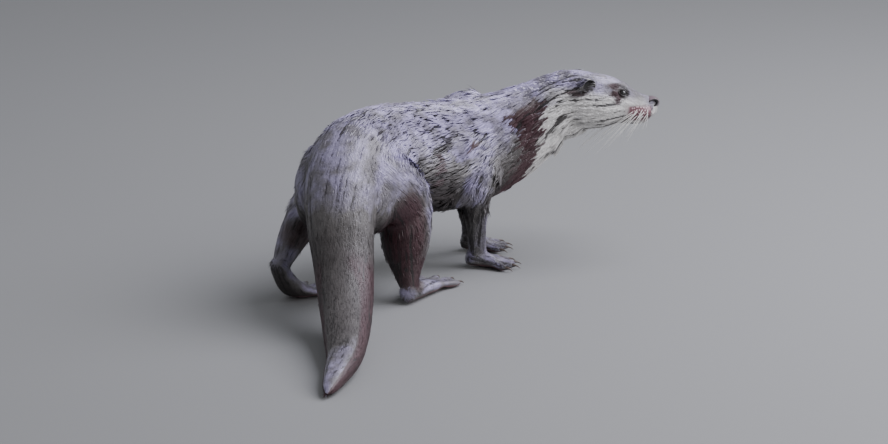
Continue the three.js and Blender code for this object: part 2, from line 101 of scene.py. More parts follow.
# ---- Sections: x, y, z, heading, half side, top, bottom, squareness, depth of the coat ----
TAIL = [
    [-573, -128, 7, 6, 4, 4, 5, 2, 1.4],
    [-558, -126, 10, 8, 11, 9, 10.5, 2, 1.8],
    [-520, -120, 15, 13, 18, 14.5, 15.5, 2.1, 2],
    [-470, -110, 20, 18, 24, 19, 20.5, 2.1, 2.1],
    [-415, -91, 26, 20, 29.5, 24, 26.5, 2.1, 2.2],
    [-360, -70, 36, 20, 34, 29, 33, 2.1, 2.2],
    [-312, -50, 57, 20, 38, 32, 34, 2.1, 2.2],
    [-276, -33, 88, 18, 41, 36, 36, 2.1, 2.2],
]
RUMP = [
    [-248, -19, 122, 12, 45, 42, 39, 2.1, 2.3],
    [-213, -8, 156, 5, 51, 52, 48, 2.1, 2.4],
    [-165, -3, 179, 0, 59, 61, 62, 2.15, 2.8],
]
TRUNK = [
    [-95, -7, 176, -8, 63, 68, 70, 2.15, 3.6],
    [-27, -22, 163, -17, 65, 73, 76, 2.15, 4.2],
    [37, -49, 151, -28, 64, 75, 73, 2.1, 4.4],
    [80, -77, 151, -38, 59, 73, 71, 2.1, 4.5],
]
NECK = [
    [112, -107, 165, -47, 53, 64, 67, 2.1, 4.5],
    [140, -145, 188, -56, 48, 51, 56, 2.1, 4.3],
]
SKULL = [
    [-26, 0, -31, 0, 45, 40, 43, 2.15, 3.6],
    [2, 0, -29, 0, 46.5, 38, 42, 2.3, 2.6],
    [27, 0, -28.5, 0, 43.5, 34, 40, 2.3, 1.9],
    [46, 0, -30, 0, 35.5, 29.5, 34, 2.2, 1.4],
    [61, 0, -33, 0, 28, 23.5, 28, 2.1, 1.1],
    [75, 0, -34.5, 0, 22.5, 18, 23.5, 2.1, 0.9],
    [88, 0, -35, 0, 14, 15, 17.5, 2.1, 0.8],
    [98, 0, -35, 0, 10, 12, 14.5, 2.2, 0.7],
    [104, 0, -35, 0, 8, 7, 9, 2.1, 0.7],
]
# Ellipsoids: middle, half sizes, turn about the vertical, depth of the coat. The far shoulder blade, the near
# shoulder, and the seat on both sides of the tail.
LUMPS = [
    [97, -66, 205, 42, 17, 27, -48, 4],
    [8, -82, 172, 40, 21, 30, -28, 3.4],
    [-188, -40, 142, 42, 30, 42, -8, 2.4],
    [-192, 36, 142, 42, 30, 42, 8, 2.4],
]
# The same in the head's frame: the whisker pads, the chin and the throat.
FACE_LUMPS = [
    [82, -12, -41.5, 17, 13.5, 11.5, 0, 0.8],
    [82, 12, -41.5, 17, 13.5, 11.5, 0, 0.8],
    [70, 0, -53, 24, 15, 9, 0, 0.9],
    [-30, 0, -60, 48, 36, 25, 0, 3],
]
# ---- Limbs: each bone's x, y, z, half width across, half depth fore and aft, depth of the coat ----
LIMBS = {
    "hind_right": {
        "heading": -8,
        "bones": [
            [[-178, -32, 176, 34, 50, 2.4], [-152, -48, 156, 36, 50, 2.4], [-122, -58, 130, 34, 42, 2.3],
             [-102, -64, 106, 24, 28, 2.2]],
            [[-116, -60, 128, 33, 37, 2.2], [-122, -61, 98, 36, 34, 2.1], [-132, -64, 68, 33, 27, 2],
             [-142, -70, 40, 21, 17, 1.8], [-148, -75, 22, 13, 14, 1.3]],
            [[-157, -76, 16, 11.5, 14, 1.2], [-138, -76, 13, 15, 13, 1.1], [-108, -76, 9.8, 20, 11.5, 0.9],
             [-88, -76, 7.4, 24, 9, 0.8]],
        ],
        "ball": [-94, -76],
        "toe_heading": 2,
        "side": -1,
        "foot": "hind",
    },
    "hind_left": {
        "heading": 6,
        "bones": [
            [[-180, 30, 176, 32, 48, 2.4], [-160, 47, 154, 33, 50, 2.4], [-136, 60, 132, 27, 38, 2.3],
             [-124, 66, 112, 20, 26, 2.2]],
            [[-136, 62, 130, 26, 34, 2.2], [-158, 68, 106, 25, 31, 2.1], [-188, 75, 80, 20, 23, 2],
             [-216, 76, 60, 14, 15, 1.8]],
            [[-230, 77, 60, 12, 11, 1.6], [-220, 77, 48, 14, 13, 1.5], [-206, 75, 30, 16.5, 12, 1.2],
             [-190, 71, 16, 20.5, 11, 0.9], [-172, 67, 7.6, 24, 9.5, 0.8]],
        ],
        "ball": [-180, 68],
        "toe_heading": -8,
        "side": 1,
        "foot": "hind",
    },
    "fore_right": {
        "heading": -40,
        "bones": [
            [[62, -94, 160, 28, 42, 4], [50, -104, 138, 24, 37, 3.4], [30, -106, 116, 19, 27, 2.8],
             [18, -104, 100, 14, 16, 2.4]],
            [[24, -102, 112, 19, 24, 2.6], [31, -103, 90, 17, 20, 2.2], [37, -103, 66, 14, 15.5, 1.8],
             [42, -102, 42, 12.5, 13.5, 1.4], [46, -101, 20, 13, 12, 1.1]],
            [[40, -93, 15, 12, 13, 1], [47, -104, 12, 17, 12, 0.9], [54, -117, 7.6, 21, 9.5, 0.8]],
        ],
        "ball": [50, -110],
        "toe_heading": -64,
        "side": -1,
        "foot": "fore",
    },
    "fore_left": {
        "heading": -42,
        "bones": [
            [[112, -66, 160, 26, 42, 4], [118, -58, 138, 23, 36, 3.4], [108, -52, 116, 18, 26, 2.8],
             [100, -52, 100, 14, 16, 2.4]],
            [[103, -54, 112, 18, 23, 2.6], [110, -57, 88, 16.5, 19, 2.2], [116, -61, 62, 14, 15, 1.8],
             [120, -64, 40, 12.5, 13, 1.4], [122, -65, 20, 13, 12, 1.1]],
            [[117, -58, 15, 12, 13, 1], [124, -68, 12, 17, 12, 0.9], [133, -79, 7.6, 21, 9.5, 0.8]],
        ],
        "ball": [128, -73],
        "toe_heading": -52,
        "side": 1,
        "foot": "fore",
    },
}
# Toe lengths from the ball, from the inner one; spread in degrees; radius; step between roots; reach of the web.
FEET = {
    "fore": {"toes": [30, 39, 43, 41, 33], "spread": 17, "radius": 6, "step": 6.2, "web": 0.62},
    "hind": {"toes": [38, 52, 58, 57, 48], "spread": 13, "radius": 6.4, "step": 7.5, "web": 0.72},
}
TOE_RINGS = [(0, 4.5, 1), (0.45, 1, 0.86), (0.8, -1.6, 1), (1, -2.2, 0.5)]  # place along it, middle's rise, size
TOE_COAT = 0.6
WEB_STEPS = (0.05, 0.3, 0.6)  # places along it of its sections but the last
WEB_ROUNDED = 0.98  # the reach of a web, as a share of where its last section is
WEB_MIDDLE = 5.3  # height of the web's middle over the ground
WEB_HALF = 1.5
CLAW_RADIUS, CLAW_LENGTH, CLAW_DROP = 1.7, 11.3, 3.8
CLAW_BURIED = 2.5
DOME = ((0.75, 0.72), (1.0, 0.3))  # the rings of a limb's domed end: how far out they are and their sizes, as shares
LOWEST = {"shape": 0.2, "skin": 0.15, "hair": 0.1}  # mm over the ground


# ---- Tools for shapes ----
POLE = 0.02  # from a ball's first and last rings to its poles, in radians


def curve_through(rows, u):
    """The Catmull-Rom curve through rows at places u, its end rows doubled:
    half of 2b + (c - a)t + (2a - 5b + 4c - d)t^2 + (3b - 3c + d - a)t^3 between rows b and c."""
    last = len(rows) - 1
    i = np.minimum(u.astype(int), last - 1)
    t = (u - i)[:, None]
    a, b, c, d = (rows[np.clip(i + k, 0, last)] for k in (-1, 0, 1, 2))
    return 0.5 * (2 * b + (c - a) * t + (2 * a - 5 * b + 4 * c - d) * t**2 + (3 * b - 3 * c + d - a) * t**3)


def unit(vectors):
    """Each vector at length one."""
    return vectors / np.maximum(np.linalg.norm(vectors, axis=-1, keepdims=True), 1e-9)


def dot(a, b):
    """The dot product along the last axis, which is kept."""
    return np.sum(a * b, axis=-1, keepdims=True)


def smooth_step(low, high, value):
    """0 below low, 1 above high, 3t^2 - 2t^3 between."""
    t = np.clip((value - low) / (high - low), 0, 1)
    return t * t * (3 - 2 * t)


def bell(distance, width):
    """A bell curve of a distance: 1 at nought, e^-1 at the width."""
    return np.exp(-((distance / width) ** 2))


def circle(count):
    """Angles evenly round a circle."""
    return np.arange(count) * 2 * np.pi / count


def ball_ways(rings, sides):
    """Ways out from a ball's middle in rings from below to above: (sin a cos b, sin a sin b, -cos a)."""
    a = np.linspace(POLE, np.pi - POLE, rings)[:, None]
    b = circle(sides)
    return np.stack([np.sin(a) * np.cos(b), np.sin(a) * np.sin(b), -np.cos(a) + 0 * b], -1)


class Loft:
    """A superellipse carried along the curve through stations. Across it the side vector lies level and square to
    the heading, turned about the curve by the roll; a point is centre + side * |cos|^(2/n) + up * |sin|^(2/n)."""

    def __init__(self, stations, per_span, sides, roll=0.0):
        rows = np.asarray(stations, float)
        spans = len(rows) - 1
        u = np.linspace(0, spans, spans * per_span + 1)
        at = curve_through(rows, u)
        step = 0.02
        ahead = curve_through(rows[:, :3], np.minimum(u + step, spans))
        behind = curve_through(rows[:, :3], np.maximum(u - step, 0))
        self.centre, self.along, self.coat = at[:, :3], unit(ahead - behind), at[:, 8]
        heading = np.radians(at[:, 3])
        side = np.stack([-np.sin(heading), np.cos(heading), 0 * heading], 1)
        side = unit(side - dot(side, self.along) * self.along)
        up = np.cross(self.along, side)
        turn = np.radians(roll if np.ndim(roll) else np.full(len(u), roll))[:, None]
        side, up = side * np.cos(turn) + up * np.sin(turn), up * np.cos(turn) - side * np.sin(turn)
        self.u = u
        inset = at[:, 8:9]
        angle = circle(sides)
        power = 2 / at[:, 7:8]
        across = np.sign(np.cos(angle)) * np.abs(np.cos(angle)) ** power * (at[:, 4:5] - inset)
        rise = np.sign(np.sin(angle)) * np.abs(np.sin(angle)) ** power
        rise = rise * (np.where(np.sin(angle) > 0, at[:, 5:6], at[:, 6:7]) - inset)
        self.points = self.centre[:, None] + across[..., None] * side[:, None] + rise[..., None] * up[:, None]
        self.radius = at[:, 4:7].mean(1)


def tube_faces(rings, sides, count=1):
    """Faces of count closed tubes, each of rings * sides points and a tip: quads along, an end face and a fan."""
    r, s = np.meshgrid(np.arange(rings - 1), np.arange(sides), indexing="ij")
    here, turn = r * sides + s, r * sides + (s + 1) % sides
    quads = np.stack([here, turn, turn + sides, here + sides], -1).reshape(-1, 4)
    last = (rings - 1) * sides
    ring = np.arange(sides)
    fan = np.stack([last + ring, last + (ring + 1) % sides, np.full(sides, rings * sides)], 1)
    start = np.arange(count)[:, None, None] * (rings * sides + 1)
    root = ring[::-1][None]
    return [(start + block).reshape(-1, block.shape[1]) for block in (quads, fan, root)]


def tube_points(rings, tips):
    """The points of tubes, in the order that tube_faces takes: rings of shape (..., rings, sides, 3), and tips."""
    flat = rings.reshape(*rings.shape[:-3], -1, 3)
    return np.concatenate([flat, tips[..., None, :]], -2).reshape(-1, 3)


def tree_of(points):
    """A search tree of points."""
    tree = kdtree.KDTree(len(points))
    for i, point in enumerate(points):
        tree.insert(point, i)
    tree.balance()
    return tree


def nearest(tree, points):
    """Which of a tree's points is nearest to each of these."""
    return np.array([tree.find(point)[1] for point in points])


def mesh_from(name, points, face_blocks, smooth=True):
    """A mesh of points in the otter's frame and blocks of faces, each block with one corner count."""
    mesh = bpy.data.meshes.new(name)
    mesh.vertices.add(len(points))
    mesh.vertices.foreach_set("co", to_metres(points).astype(np.float32).ravel())
    corners = np.concatenate([block.ravel() for block in face_blocks])
    sizes = np.concatenate([np.full(len(block), block.shape[1]) for block in face_blocks])
    mesh.loops.add(len(corners))
    mesh.loops.foreach_set("vertex_index", corners.astype(np.int32))
    mesh.polygons.add(len(sizes))
    mesh.polygons.foreach_set("loop_start", (np.cumsum(sizes) - sizes).astype(np.int32))
    mesh.polygons.foreach_set("use_smooth", np.full(len(sizes), smooth))
    mesh.update(calc_edges=True)
    return mesh


def remade(mesh, change):
    """A mesh after a change to its bmesh."""
    work = bmesh.new()
    work.from_mesh(mesh)
    change(work)
    work.to_mesh(mesh)
    work.free()
    return mesh


def facing_out(mesh):
    """A closed mesh with its faces turned to point out."""
    return remade(mesh, lambda work: bmesh.ops.recalc_face_normals(work, faces=work.faces))


def gathered(parts):
    """Several (points, face blocks) as one, each part's corners moved up past the points before it."""
    points, blocks, start = [], [], 0
    for part_points, part_blocks in parts:
        points.append(part_points)
        blocks += [block + start for block in part_blocks]
        start += len(part_points)
    return np.concatenate(points), blocks


def placed(name, data):
    """An object with this data, in the scene."""
    made = bpy.data.objects.new(name, data)
    bpy.context.scene.collection.objects.link(made)
    return made


def add_piece(name, mesh, material, slot, *nodes):
    """A mesh as a piece of the otter with a material, hung under the root and standing for CAD nodes, which it hides.
    The slot is not used.
    """
    piece = placed(name, mesh)
    mesh.materials.clear()
    mesh.materials.append(material)
    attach(piece, "root")
    if nodes:
        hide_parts(*nodes)
    return piece


def closed(loft):
    """A loft as closed points and faces."""
    rings, sides = loft.points.shape[:2]
    return tube_points(loft.points, loft.centre[-1]), tube_faces(rings, sides)


def ellipsoid(row, rings=20, sides=28):
    """An ellipsoid as closed points and faces."""
    x, y, z, along, across, high, turn, coat = row
    size = np.array([along, across, high]) - coat
    points = (ball_ways(rings, sides) * size) @ turning(2, turn).T + [x, y, z]
    tip = np.array([x, y, z + size[2]])
    return tube_points(points, tip), tube_faces(rings, sides)


# ---- The lofts of the otter ----
def spine():
    """The whole length from the tail's tip to the nose, as one loft."""
    skull = np.array(SKULL, float)
    skull[:, :3] = from_head(skull[:, :3])
    skull[:, 3] = HEAD_HEADING
    body = np.array(TAIL + RUMP + TRUNK + NECK, float)
    rows = np.concatenate([body, skull])
    rolls = np.where(np.arange(len(rows)) < len(body), 0, -HEAD_ROLL)[:, None].astype(float)
    per_span = 8
    spans = len(rows) - 1
    roll = curve_through(rolls, np.linspace(0, spans, spans * per_span + 1))[:, 0]
    return Loft(rows, per_span, 64, roll)


def bone(sections, heading):
    """A limb's length of round sections, each end drawn in to a dome."""
    rows = np.array([[x, y, z, heading, wide, deep, deep, 2, coat] for x, y, z, wide, deep, coat in sections], float)

    def dome(end, following):
        out = unit(end[:3] - following[:3])
        reach = 0.5 * min(end[4], end[5])
        rings = []
        for away, size in DOME:
            ring = end.copy()
            ring[:3] += out * reach * away
            ring[4:7] *= size
            rings.append(ring)
        return rings

    first, last = dome(rows[0], rows[1]), dome(rows[-1], rows[-2])
    return Loft(np.array(first[::-1] + list(rows) + last), 4, 32)


def onward(root, heading, distance, height):
    """The point at a distance along a heading from a point on the ground, at a height."""
    turn = np.radians(heading)
    return [root[0] + distance * np.cos(turn), root[1] + distance * np.sin(turn), height]


def toes_of(limb):
    """Root, heading, length and radius of each toe, from the inner one."""
    foot = FEET[limb["foot"]]
    for i, length in enumerate(foot["toes"]):
        outward = (i - 2) * limb["side"]
        root = onward(limb["ball"], limb["toe_heading"] + 90, outward * foot["step"], 0)
        yield root, limb["toe_heading"] + outward * foot["spread"], length, foot["radius"]


def toe(root, heading, length, radius):
    """A toe, arched, swelling at its last joint."""
    rows = [
        [*onward(root, heading, length * share, radius + rise), heading, *[radius * size] * 3, 2, TOE_COAT]
        for share, rise, size in TOE_RINGS
    ]
    return Loft(rows, 4, 20)


def web_between(near, far, reach):
    """The web between two toes: a flat loft out along the line midway between them."""
    root = [(a + b) / 2 for a, b in zip(near[0], far[0])]
    heading = (near[1] + far[1]) / 2
    half_angle = np.radians(abs(near[1] - far[1])) / 2
    length = min(near[2], far[2])
    half_root = np.hypot(near[0][0] - far[0][0], near[0][1] - far[0][1]) / 2
    rows = []
    for share in (*WEB_STEPS, reach / WEB_ROUNDED):
        out = length * share
        half = half_root + np.tan(half_angle) * out
        rows.append([*onward(root, heading, out, WEB_MIDDLE), heading, half, WEB_HALF, WEB_HALF, 5, 0])
    return Loft(rows, 3, 20)


SPINE = spine()
BONES = {name: [bone(rows, limb["heading"]) for rows in limb["bones"]] for name, limb in LIMBS.items()}
TOES = {name: [toe(*t) for t in toes_of(limb)] for name, limb in LIMBS.items()}


def webs_of(limb):
    """The four webs of a foot."""
    toes = list(toes_of(limb))
    return [web_between(near, far, FEET[limb["foot"]]["web"]) for near, far in zip(toes, toes[1:])]


# ---- The skin: everything joined, evened out and smoothed ----
VOXEL = 0.0027


def joined_shape():
    """Every loft and lump as one mesh, remeshed into one closed skin."""
    parts = [closed(SPINE)]
    parts += [ellipsoid(row) for row in LUMPS]
    parts += [(from_head(points), faces) for points, faces in map(ellipsoid, FACE_LUMPS)]
    for name, limb in LIMBS.items():
        parts += [closed(loft) for loft in BONES[name] + TOES[name] + webs_of(limb)]
    points, blocks = gathered(parts)
    points[:, 2] = np.maximum(points[:, 2], LOWEST["shape"])
    whole = placed("shape", mesh_from("shape", points, blocks))
    remesh = whole.modifiers.new("One_skin", "REMESH")
    remesh.mode = "VOXEL"
    remesh.voxel_size = VOXEL
    depsgraph = bpy.context.evaluated_depsgraph_get()
    mesh = bpy.data.meshes.new_from_object(whole.evaluated_get(depsgraph))
    bpy.data.objects.remove(whole)
    return mesh


def read(sequence, key, width, kind=np.float32):
    """A mesh's values of one name as an array, width numbers to a row."""
    values = np.empty(len(sequence) * width, kind)
    sequence.foreach_get(key, values)
    return values.reshape(-1, width)


def places(mesh):
    """A mesh's points in the otter's frame, in mm."""
    return read(mesh.vertices, "co", 3).astype(float) * MM - SHIFT


def put_places(mesh, points):
    """Moves a mesh's points."""
    mesh.vertices.foreach_set("co", to_metres(points).astype(np.float32).ravel())
    mesh.update()


def even_out(values, edges, weight, rounds):
    """Each point's row drawn towards the mean of its neighbours' rows, by its weight, a number of times."""
    count = len(values)
    a, b = edges[:, 0], edges[:, 1]
    degree = np.maximum(np.bincount(edges.ravel(), minlength=count), 1)[:, None]
    for _ in range(rounds):
        total = np.stack([
            np.bincount(a, column[b], count) + np.bincount(b, column[a], count) for column in values.T
        ], 1)
        values = values + weight * (total / degree - values)
    return values


# ---- The lie of the coat: each point takes the mean of what the near sections say ----
REGIONS = ["tail", "rump", "trunk", "neck", "head", "hind_right", "hind_left", "fore_right", "fore_left"]
SPINE_REGIONS = 5


def share_of(shares, *names):
    """Each point's share of the regions of these names."""
    return shares[:, [REGIONS.index(name) for name in names]].sum(1)


def coat_sections():
    """Rows of centre, radius, direction of the hair, depth of the coat, place along the spine and region."""
    edges = np.cumsum([len(TAIL), len(RUMP), len(TRUNK), len(NECK)])
    region = np.searchsorted(edges - 0.5, SPINE.u)
    rows = [np.column_stack([SPINE.centre, SPINE.radius, -SPINE.along, SPINE.coat, SPINE.u, region])]
    for name, lofts in BONES.items():
        for loft in lofts + TOES[name]:
            keep = slice(None, None, 2)
            many = len(loft.u[keep])
            rows.append(np.column_stack([
                loft.centre[keep], loft.radius[keep], loft.along[keep], loft.coat[keep],
                np.zeros(many), np.full(many, REGIONS.index(name)),
            ]))
    return np.concatenate(rows)


def lie_of_coat(points):
    """For each point: hair direction, coat depth, place along the spine, and its share of each region. A section
    counts by the eighth power of its radius over its distance."""
    sections = coat_sections()
    flows, shares = [], []
    regions = sections[:, 9:10] == np.arange(len(REGIONS))
    on_spine = regions[:, :SPINE_REGIONS].any(1)
    for block in np.array_split(points, 12):
        gap = np.linalg.norm(block[:, None] - sections[None, :, :3], axis=2)
        pull = (sections[:, 3] / np.maximum(gap, 1)) ** 8
        total = pull.sum(1, keepdims=True)
        spine_total = np.maximum((pull * on_spine).sum(1, keepdims=True), 1e-12)
        place = (pull * on_spine) @ sections[:, 8:9] / spine_total
        flows.append(np.hstack([pull @ sections[:, 4:8] / total, place]))
        shares.append(pull @ regions / total)
    flows, shares = np.concatenate(flows), np.concatenate(shares)
    return flows[:, :3], flows[:, 3], flows[:, 4], shares


def point_normals(points, triangles):
    """The normal at each point: the sum of its triangles' normals, by their areas."""
    a, b, c = (points[triangles[:, k]] for k in range(3))
    face = np.cross(b - a, c - a)
    total = np.stack([
        np.bincount(triangles.ravel(), np.repeat(face[:, k], 3), len(points)) for k in range(3)
    ], 1)
    return unit(total)


# ---- The face: lids, brow, mouth and folds, moved into the skin in the head's frame ----
EYE_LOOKS = unit(np.array([0.3, 0.88, 0.36]))  # the way the left eye faces
LID_HALF = np.array([5.5, 4.3])  # half length and half height of the opening between the lids
LID_BEAD, LID_CLEAR = 0.6, 0.15  # the radius of a lid's rim and how far its middle is over the ball
LID_COVERS = 0.9  # how far the lids' skin is over the ball
SOCKET = -4.5  # where the skin lies inside the opening, behind the ball's front
BEHIND_EYE = -6  # what lies further back than this from the ball's middle isn't moved
BROW_AT = EYE_AT + [-2, -3, 9]
BROW_HIGH, BROW_WIDE = 0.9, 7
MOUTH_CORNER = 38.0
LIP_GROOVE = 1.5
FURROWS = ((12, 2.2, 0.8, 0.35), (-6, 2.6, 1.0, 0.5), (-26, 3.2, 1.2, 0.6))  # x at the throat, width, depth, lean


def eye_axes(mirror):
    """Middle of one eye, the way it faces, the line from corner to corner and the line up, in the head's frame."""
    middle, out = EYE_AT * mirror, EYE_LOOKS * mirror
    long = unit(np.array([1.0, 0, -0.12]) - out * np.dot(out, [1.0, 0, -0.12]))
    up = np.cross(out, long) * mirror[1]
    return middle, out, long, -up


def mouth_height(x):
    """Height of the line between the lips at x: highest at the front, sinking towards the corner."""
    return -48.5 - 0.0028 * (x - 92) ** 2


def beside(points, middle):
    """Where points of the head's frame are from a place on the left or, mirrored, on the right."""
    away = points - middle
    away[:, 1] = np.abs(points[:, 1]) - middle[1]
    return away


def eye_gap(points):
    """How far points of the head's frame are from the nearer eye."""
    return np.linalg.norm(beside(points, EYE_AT), axis=1)


def near_face(points, reach):
    """Which points of the head's frame are within reach of the eyes or the line of the mouth."""
    lips = (np.abs(points[:, 2] - mouth_height(points[:, 0])) < reach * 0.45) & (points[:, 0] > MOUTH_CORNER - 4)
    return (eye_gap(points) < reach) | lips


def split_faces(mesh, chosen):
    """Cuts every edge between chosen points in half."""

    def halve(work):
        edges = [edge for edge in work.edges if chosen[edge.verts[0].index] and chosen[edge.verts[1].index]]
        bmesh.ops.subdivide_edges(work, edges=edges, cuts=1, use_grid_fill=True)

    remade(mesh, halve)


def shaped_face(points):
    """Points of the head's frame moved into the face's features."""
    moved = points.copy()
    x, y, z = points.T
    side = np.sign(y)
    # The brows.
    outward = np.column_stack([0 * x, 0.5 * side, np.full(len(x), 0.85)])
    brow = BROW_HIGH * bell(np.linalg.norm(beside(points, BROW_AT), axis=1), BROW_WIDE)
    moved += outward * brow[:, None]
    # The lids, drawn onto the ball and sunk in at their opening, and the crease round them.
    for mirror in (LEFT, RIGHT):
        middle, out, long, up = eye_axes(mirror)
        offset = points - middle
        a, b, height = offset @ long, offset @ up, offset @ out
        ring = np.sqrt((a / LID_HALF[0]) ** 2 + (b / LID_HALF[1]) ** 2)
        on_ball = np.sqrt(np.maximum(EYE_RADIUS**2 - np.hypot(a, b) ** 2, 0))
        in_front = height > BEHIND_EYE
        close = smooth_step(2.3, 1.15, ring) * in_front
        target = np.where(ring < 0.93, SOCKET, on_ball + LID_COVERS)
        moved += out * (close * (target - height))[:, None]
        crease = bell(ring - 1.95, 0.28) * in_front * 0.55
        moved -= out * crease[:, None]
    # The line between the lips.
    along = smooth_step(MOUTH_CORNER - 3, MOUTH_CORNER + 8, x)
    groove = bell(z - mouth_height(x), 1.3) * along * LIP_GROOVE
    inward = unit(np.column_stack([-0.3 * (x > 92), -side * (np.abs(y) > 2), 0.2 + 0 * x]))
    moved += inward * groove[:, None]
    # Furrows under the throat and across the cheek.
    for at, width, deep, lean in FURROWS:
        line = x - at - lean * (z + 40)
        reach = smooth_step(-30, -48, z) * smooth_step(-85, -70, z)
        moved -= np.column_stack([0 * x, side, 0 * x]) * (bell(line, width) * deep * reach)[:, None]
    return moved


FACE_SPLITS = ((16, None), (30, 10.5))  # each refines what is ahead of an x and, the second, near eyes and mouth
FACE_BACK = -50  # the x that the face's features reach back to
EAR_PROFILE = np.array([  # distance from the ear's middle as a share of its half size, and depth
    [0.3, -5.3], [0.6, -4.4], [0.85, -2.6], [0.98, -0.4], [1.02, 1.0], [0.97, 1.7], [0.88, 1.2], [0.8, -0.2],
    [0.62, -1.9], [0.34, -2.6],
])
EAR_HALF = np.array([11.2, 8.8])
EAR_HOLLOW = (14, 20)  # from which ring of the profile to which the bowl darkens with painted shade


def ear(mirror):
    """An ear: the profile of a thick-rimmed bowl carried round an oval, its rim drawn in at the front for the notch.
    Closed points and faces, in the otter's frame, and how far each point is down inside the bowl."""
    rings, sides = 28, 40
    angle = circle(sides)
    profile = curve_through(EAR_PROFILE, np.linspace(0, len(EAR_PROFILE) - 1, rings))
    notch = 1 - 0.12 * bell((angle + 0.9 + np.pi) % (2 * np.pi) - np.pi, 0.5)
    across = profile[:, :1] * EAR_HALF[0] * np.cos(angle) * mirror[1] * notch
    high = profile[:, :1] * EAR_HALF[1] * np.sin(angle) * notch
    forward = profile[:, 1:] + 0.9 * np.sin(2 * angle) * profile[:, :1] ** 2
    own = np.stack([forward, across, high], -1)
    if mirror[1] < 0:
        own = own[:, ::-1]
    turn = turning(2, mirror[1] * EAR_TURN) @ turning(0, mirror[1] * -EAR_TILT)
    tip = np.array([profile[-1, 1], 0, 0])
    points = from_head(tube_points(own, tip) @ turn.T + EAR_AT * mirror)
    inner = np.repeat(smooth_step(*EAR_HOLLOW, np.arange(float(rings))), sides)
    return points, tube_faces(rings, sides), np.append(inner, 1.0)


def skin_mesh():
    """The one skin: joined, smoothed most where limbs meet the body, its face refined and shaped, its ears set on."""
    mesh = joined_shape()
    edges = read(mesh.edges, "vertices", 2, np.int32)
    points = places(mesh)
    shares = lie_of_coat(points)[3]
    spine_share = shares[:, :SPINE_REGIONS].sum(1)
    alone = np.maximum(spine_share, shares[:, SPINE_REGIONS:].max(1))
    meeting = np.clip((1 - alone) * 3, 0, 1)[:, None]
    points = even_out(points, edges, 0.12 + 0.5 * meeting, 24)
    points[:, 2] = np.maximum(points[:, 2], LOWEST["skin"])
    put_places(mesh, points)
    for forward, reach in FACE_SPLITS:
        in_head = into_head(places(mesh))
        x, y, z = in_head.T
        chosen = (x > forward) & (np.abs(y) < 60) & (np.abs(z) < 90)
        if reach:
            chosen &= near_face(in_head, reach)
        split_faces(mesh, chosen)
        points = places(mesh)
        face = smooth_step(forward - 6, forward + 4, into_head(points)[:, 0])[:, None]
        edges = read(mesh.edges, "vertices", 2, np.int32)
        put_places(mesh, even_out(points, edges, 0.35 * face, 6))
    points = places(mesh)
    face = into_head(points)[:, 0] > FACE_BACK
    points[face] = from_head(shaped_face(into_head(points[face])))
    put_places(mesh, points)
    return with_ears(mesh)


def with_ears(mesh):
    """The skin with both ears joined to it, and a value at each point that is 1 down inside an ear, for its painted
    shade.
    """
    parts = [ear(mirror) for mirror in (LEFT, RIGHT)]
    ears = mesh_from("ears", *gathered([(points, faces) for points, faces, _ in parts]))
    inner = np.concatenate([np.zeros(len(mesh.vertices)), *[hollow for _, _, hollow in parts]])

    def join(work):
        work.from_mesh(ears)
        bmesh.ops.triangulate(work, faces=work.faces)

    remade(mesh, join)
    bpy.data.meshes.remove(ears)
    mesh.polygons.foreach_set("use_smooth", np.ones(len(mesh.polygons), bool))
    put_value(mesh, "hollow", inner)
    return mesh


def put_value(mesh, name, values):
    """A number at each point of a mesh, for its material to read."""
    attribute = mesh.attributes.get(name) or mesh.attributes.new(name, "FLOAT", "POINT")
    attribute.data.foreach_set("value", np.asarray(values, np.float32))


def unwrap(mesh):
    """Unwraps the skin's own shape into flat patches, in the map OFBake."""
    mesh.uv_layers.new(name="OFBake")
    skin = placed("unwrapped", mesh)
    bpy.context.view_layer.objects.active = skin
    skin.select_set(True)
    bpy.ops.object.mode_set(mode="EDIT")
    bpy.ops.mesh.select_all(action="SELECT")
    bpy.ops.uv.smart_project(angle_limit=np.radians(66), island_margin=0.002)
    bpy.ops.object.mode_set(mode="OBJECT")
    bpy.data.objects.remove(skin)


# ---- Markings, with painted sheen, highlights and shade, the same for the skin and the coat ----
MAROON_SPOTS = [  # middle, half sizes, strength: where no sky shows in the wet coat; the fourth is painted shade in the crease behind the near shoulder
    [-160, -68, 102, 34, 40, 56, 1.0],
    [-142, -76, 46, 28, 34, 28, 0.85],
    [-186, 66, 92, 24, 20, 20, 0.55],
    [-33, -80, 157, 7, 20, 26, 0.8],
    [30, -112, 178, 15, 12, 4, 0.9],
]
SHEEN_SPOTS = [  # as above: painted highlights, where the wet coat shines brightest
    [-490, -120, 34, 100, 15, 22, 0.62],
    [-176, -62, 196, 34, 24, 36, 0.84],
    [-100, -62, 202, 70, 20, 24, 1.0],
    [16, -103, 177, 36, 24, 20, 1.0],
]
SHADE_SPOTS = [  # as above: painted shade under the chest, which takes the painted sheen away
    [76, -118, 132, 30, 24, 30, 0.7],
]
EYE_STRIPES = [  # offset from the eye and half sizes: red behind it, below it and over it
    ([-11, 0, -2], [13, 12, 6]),
    ([-5, 0, -10], [6, 12, 7]),
    ([-7, 0, 8], [11, 12, 4]),
]


def spot(away, sizes):
    """1 inside an ellipsoid of half sizes, falling to 0 outside it."""
    return smooth_step(1.3, 0.7, np.linalg.norm(away / sizes, axis=1))


def over_spots(spots, points, value):
    """The value, raised to each spot's strength inside it."""
    for ax, ay, az, sx, sy, sz, strength in spots:
        value = np.maximum(value, strength * spot(points - [ax, ay, az], [sx, sy, sz]))
    return value


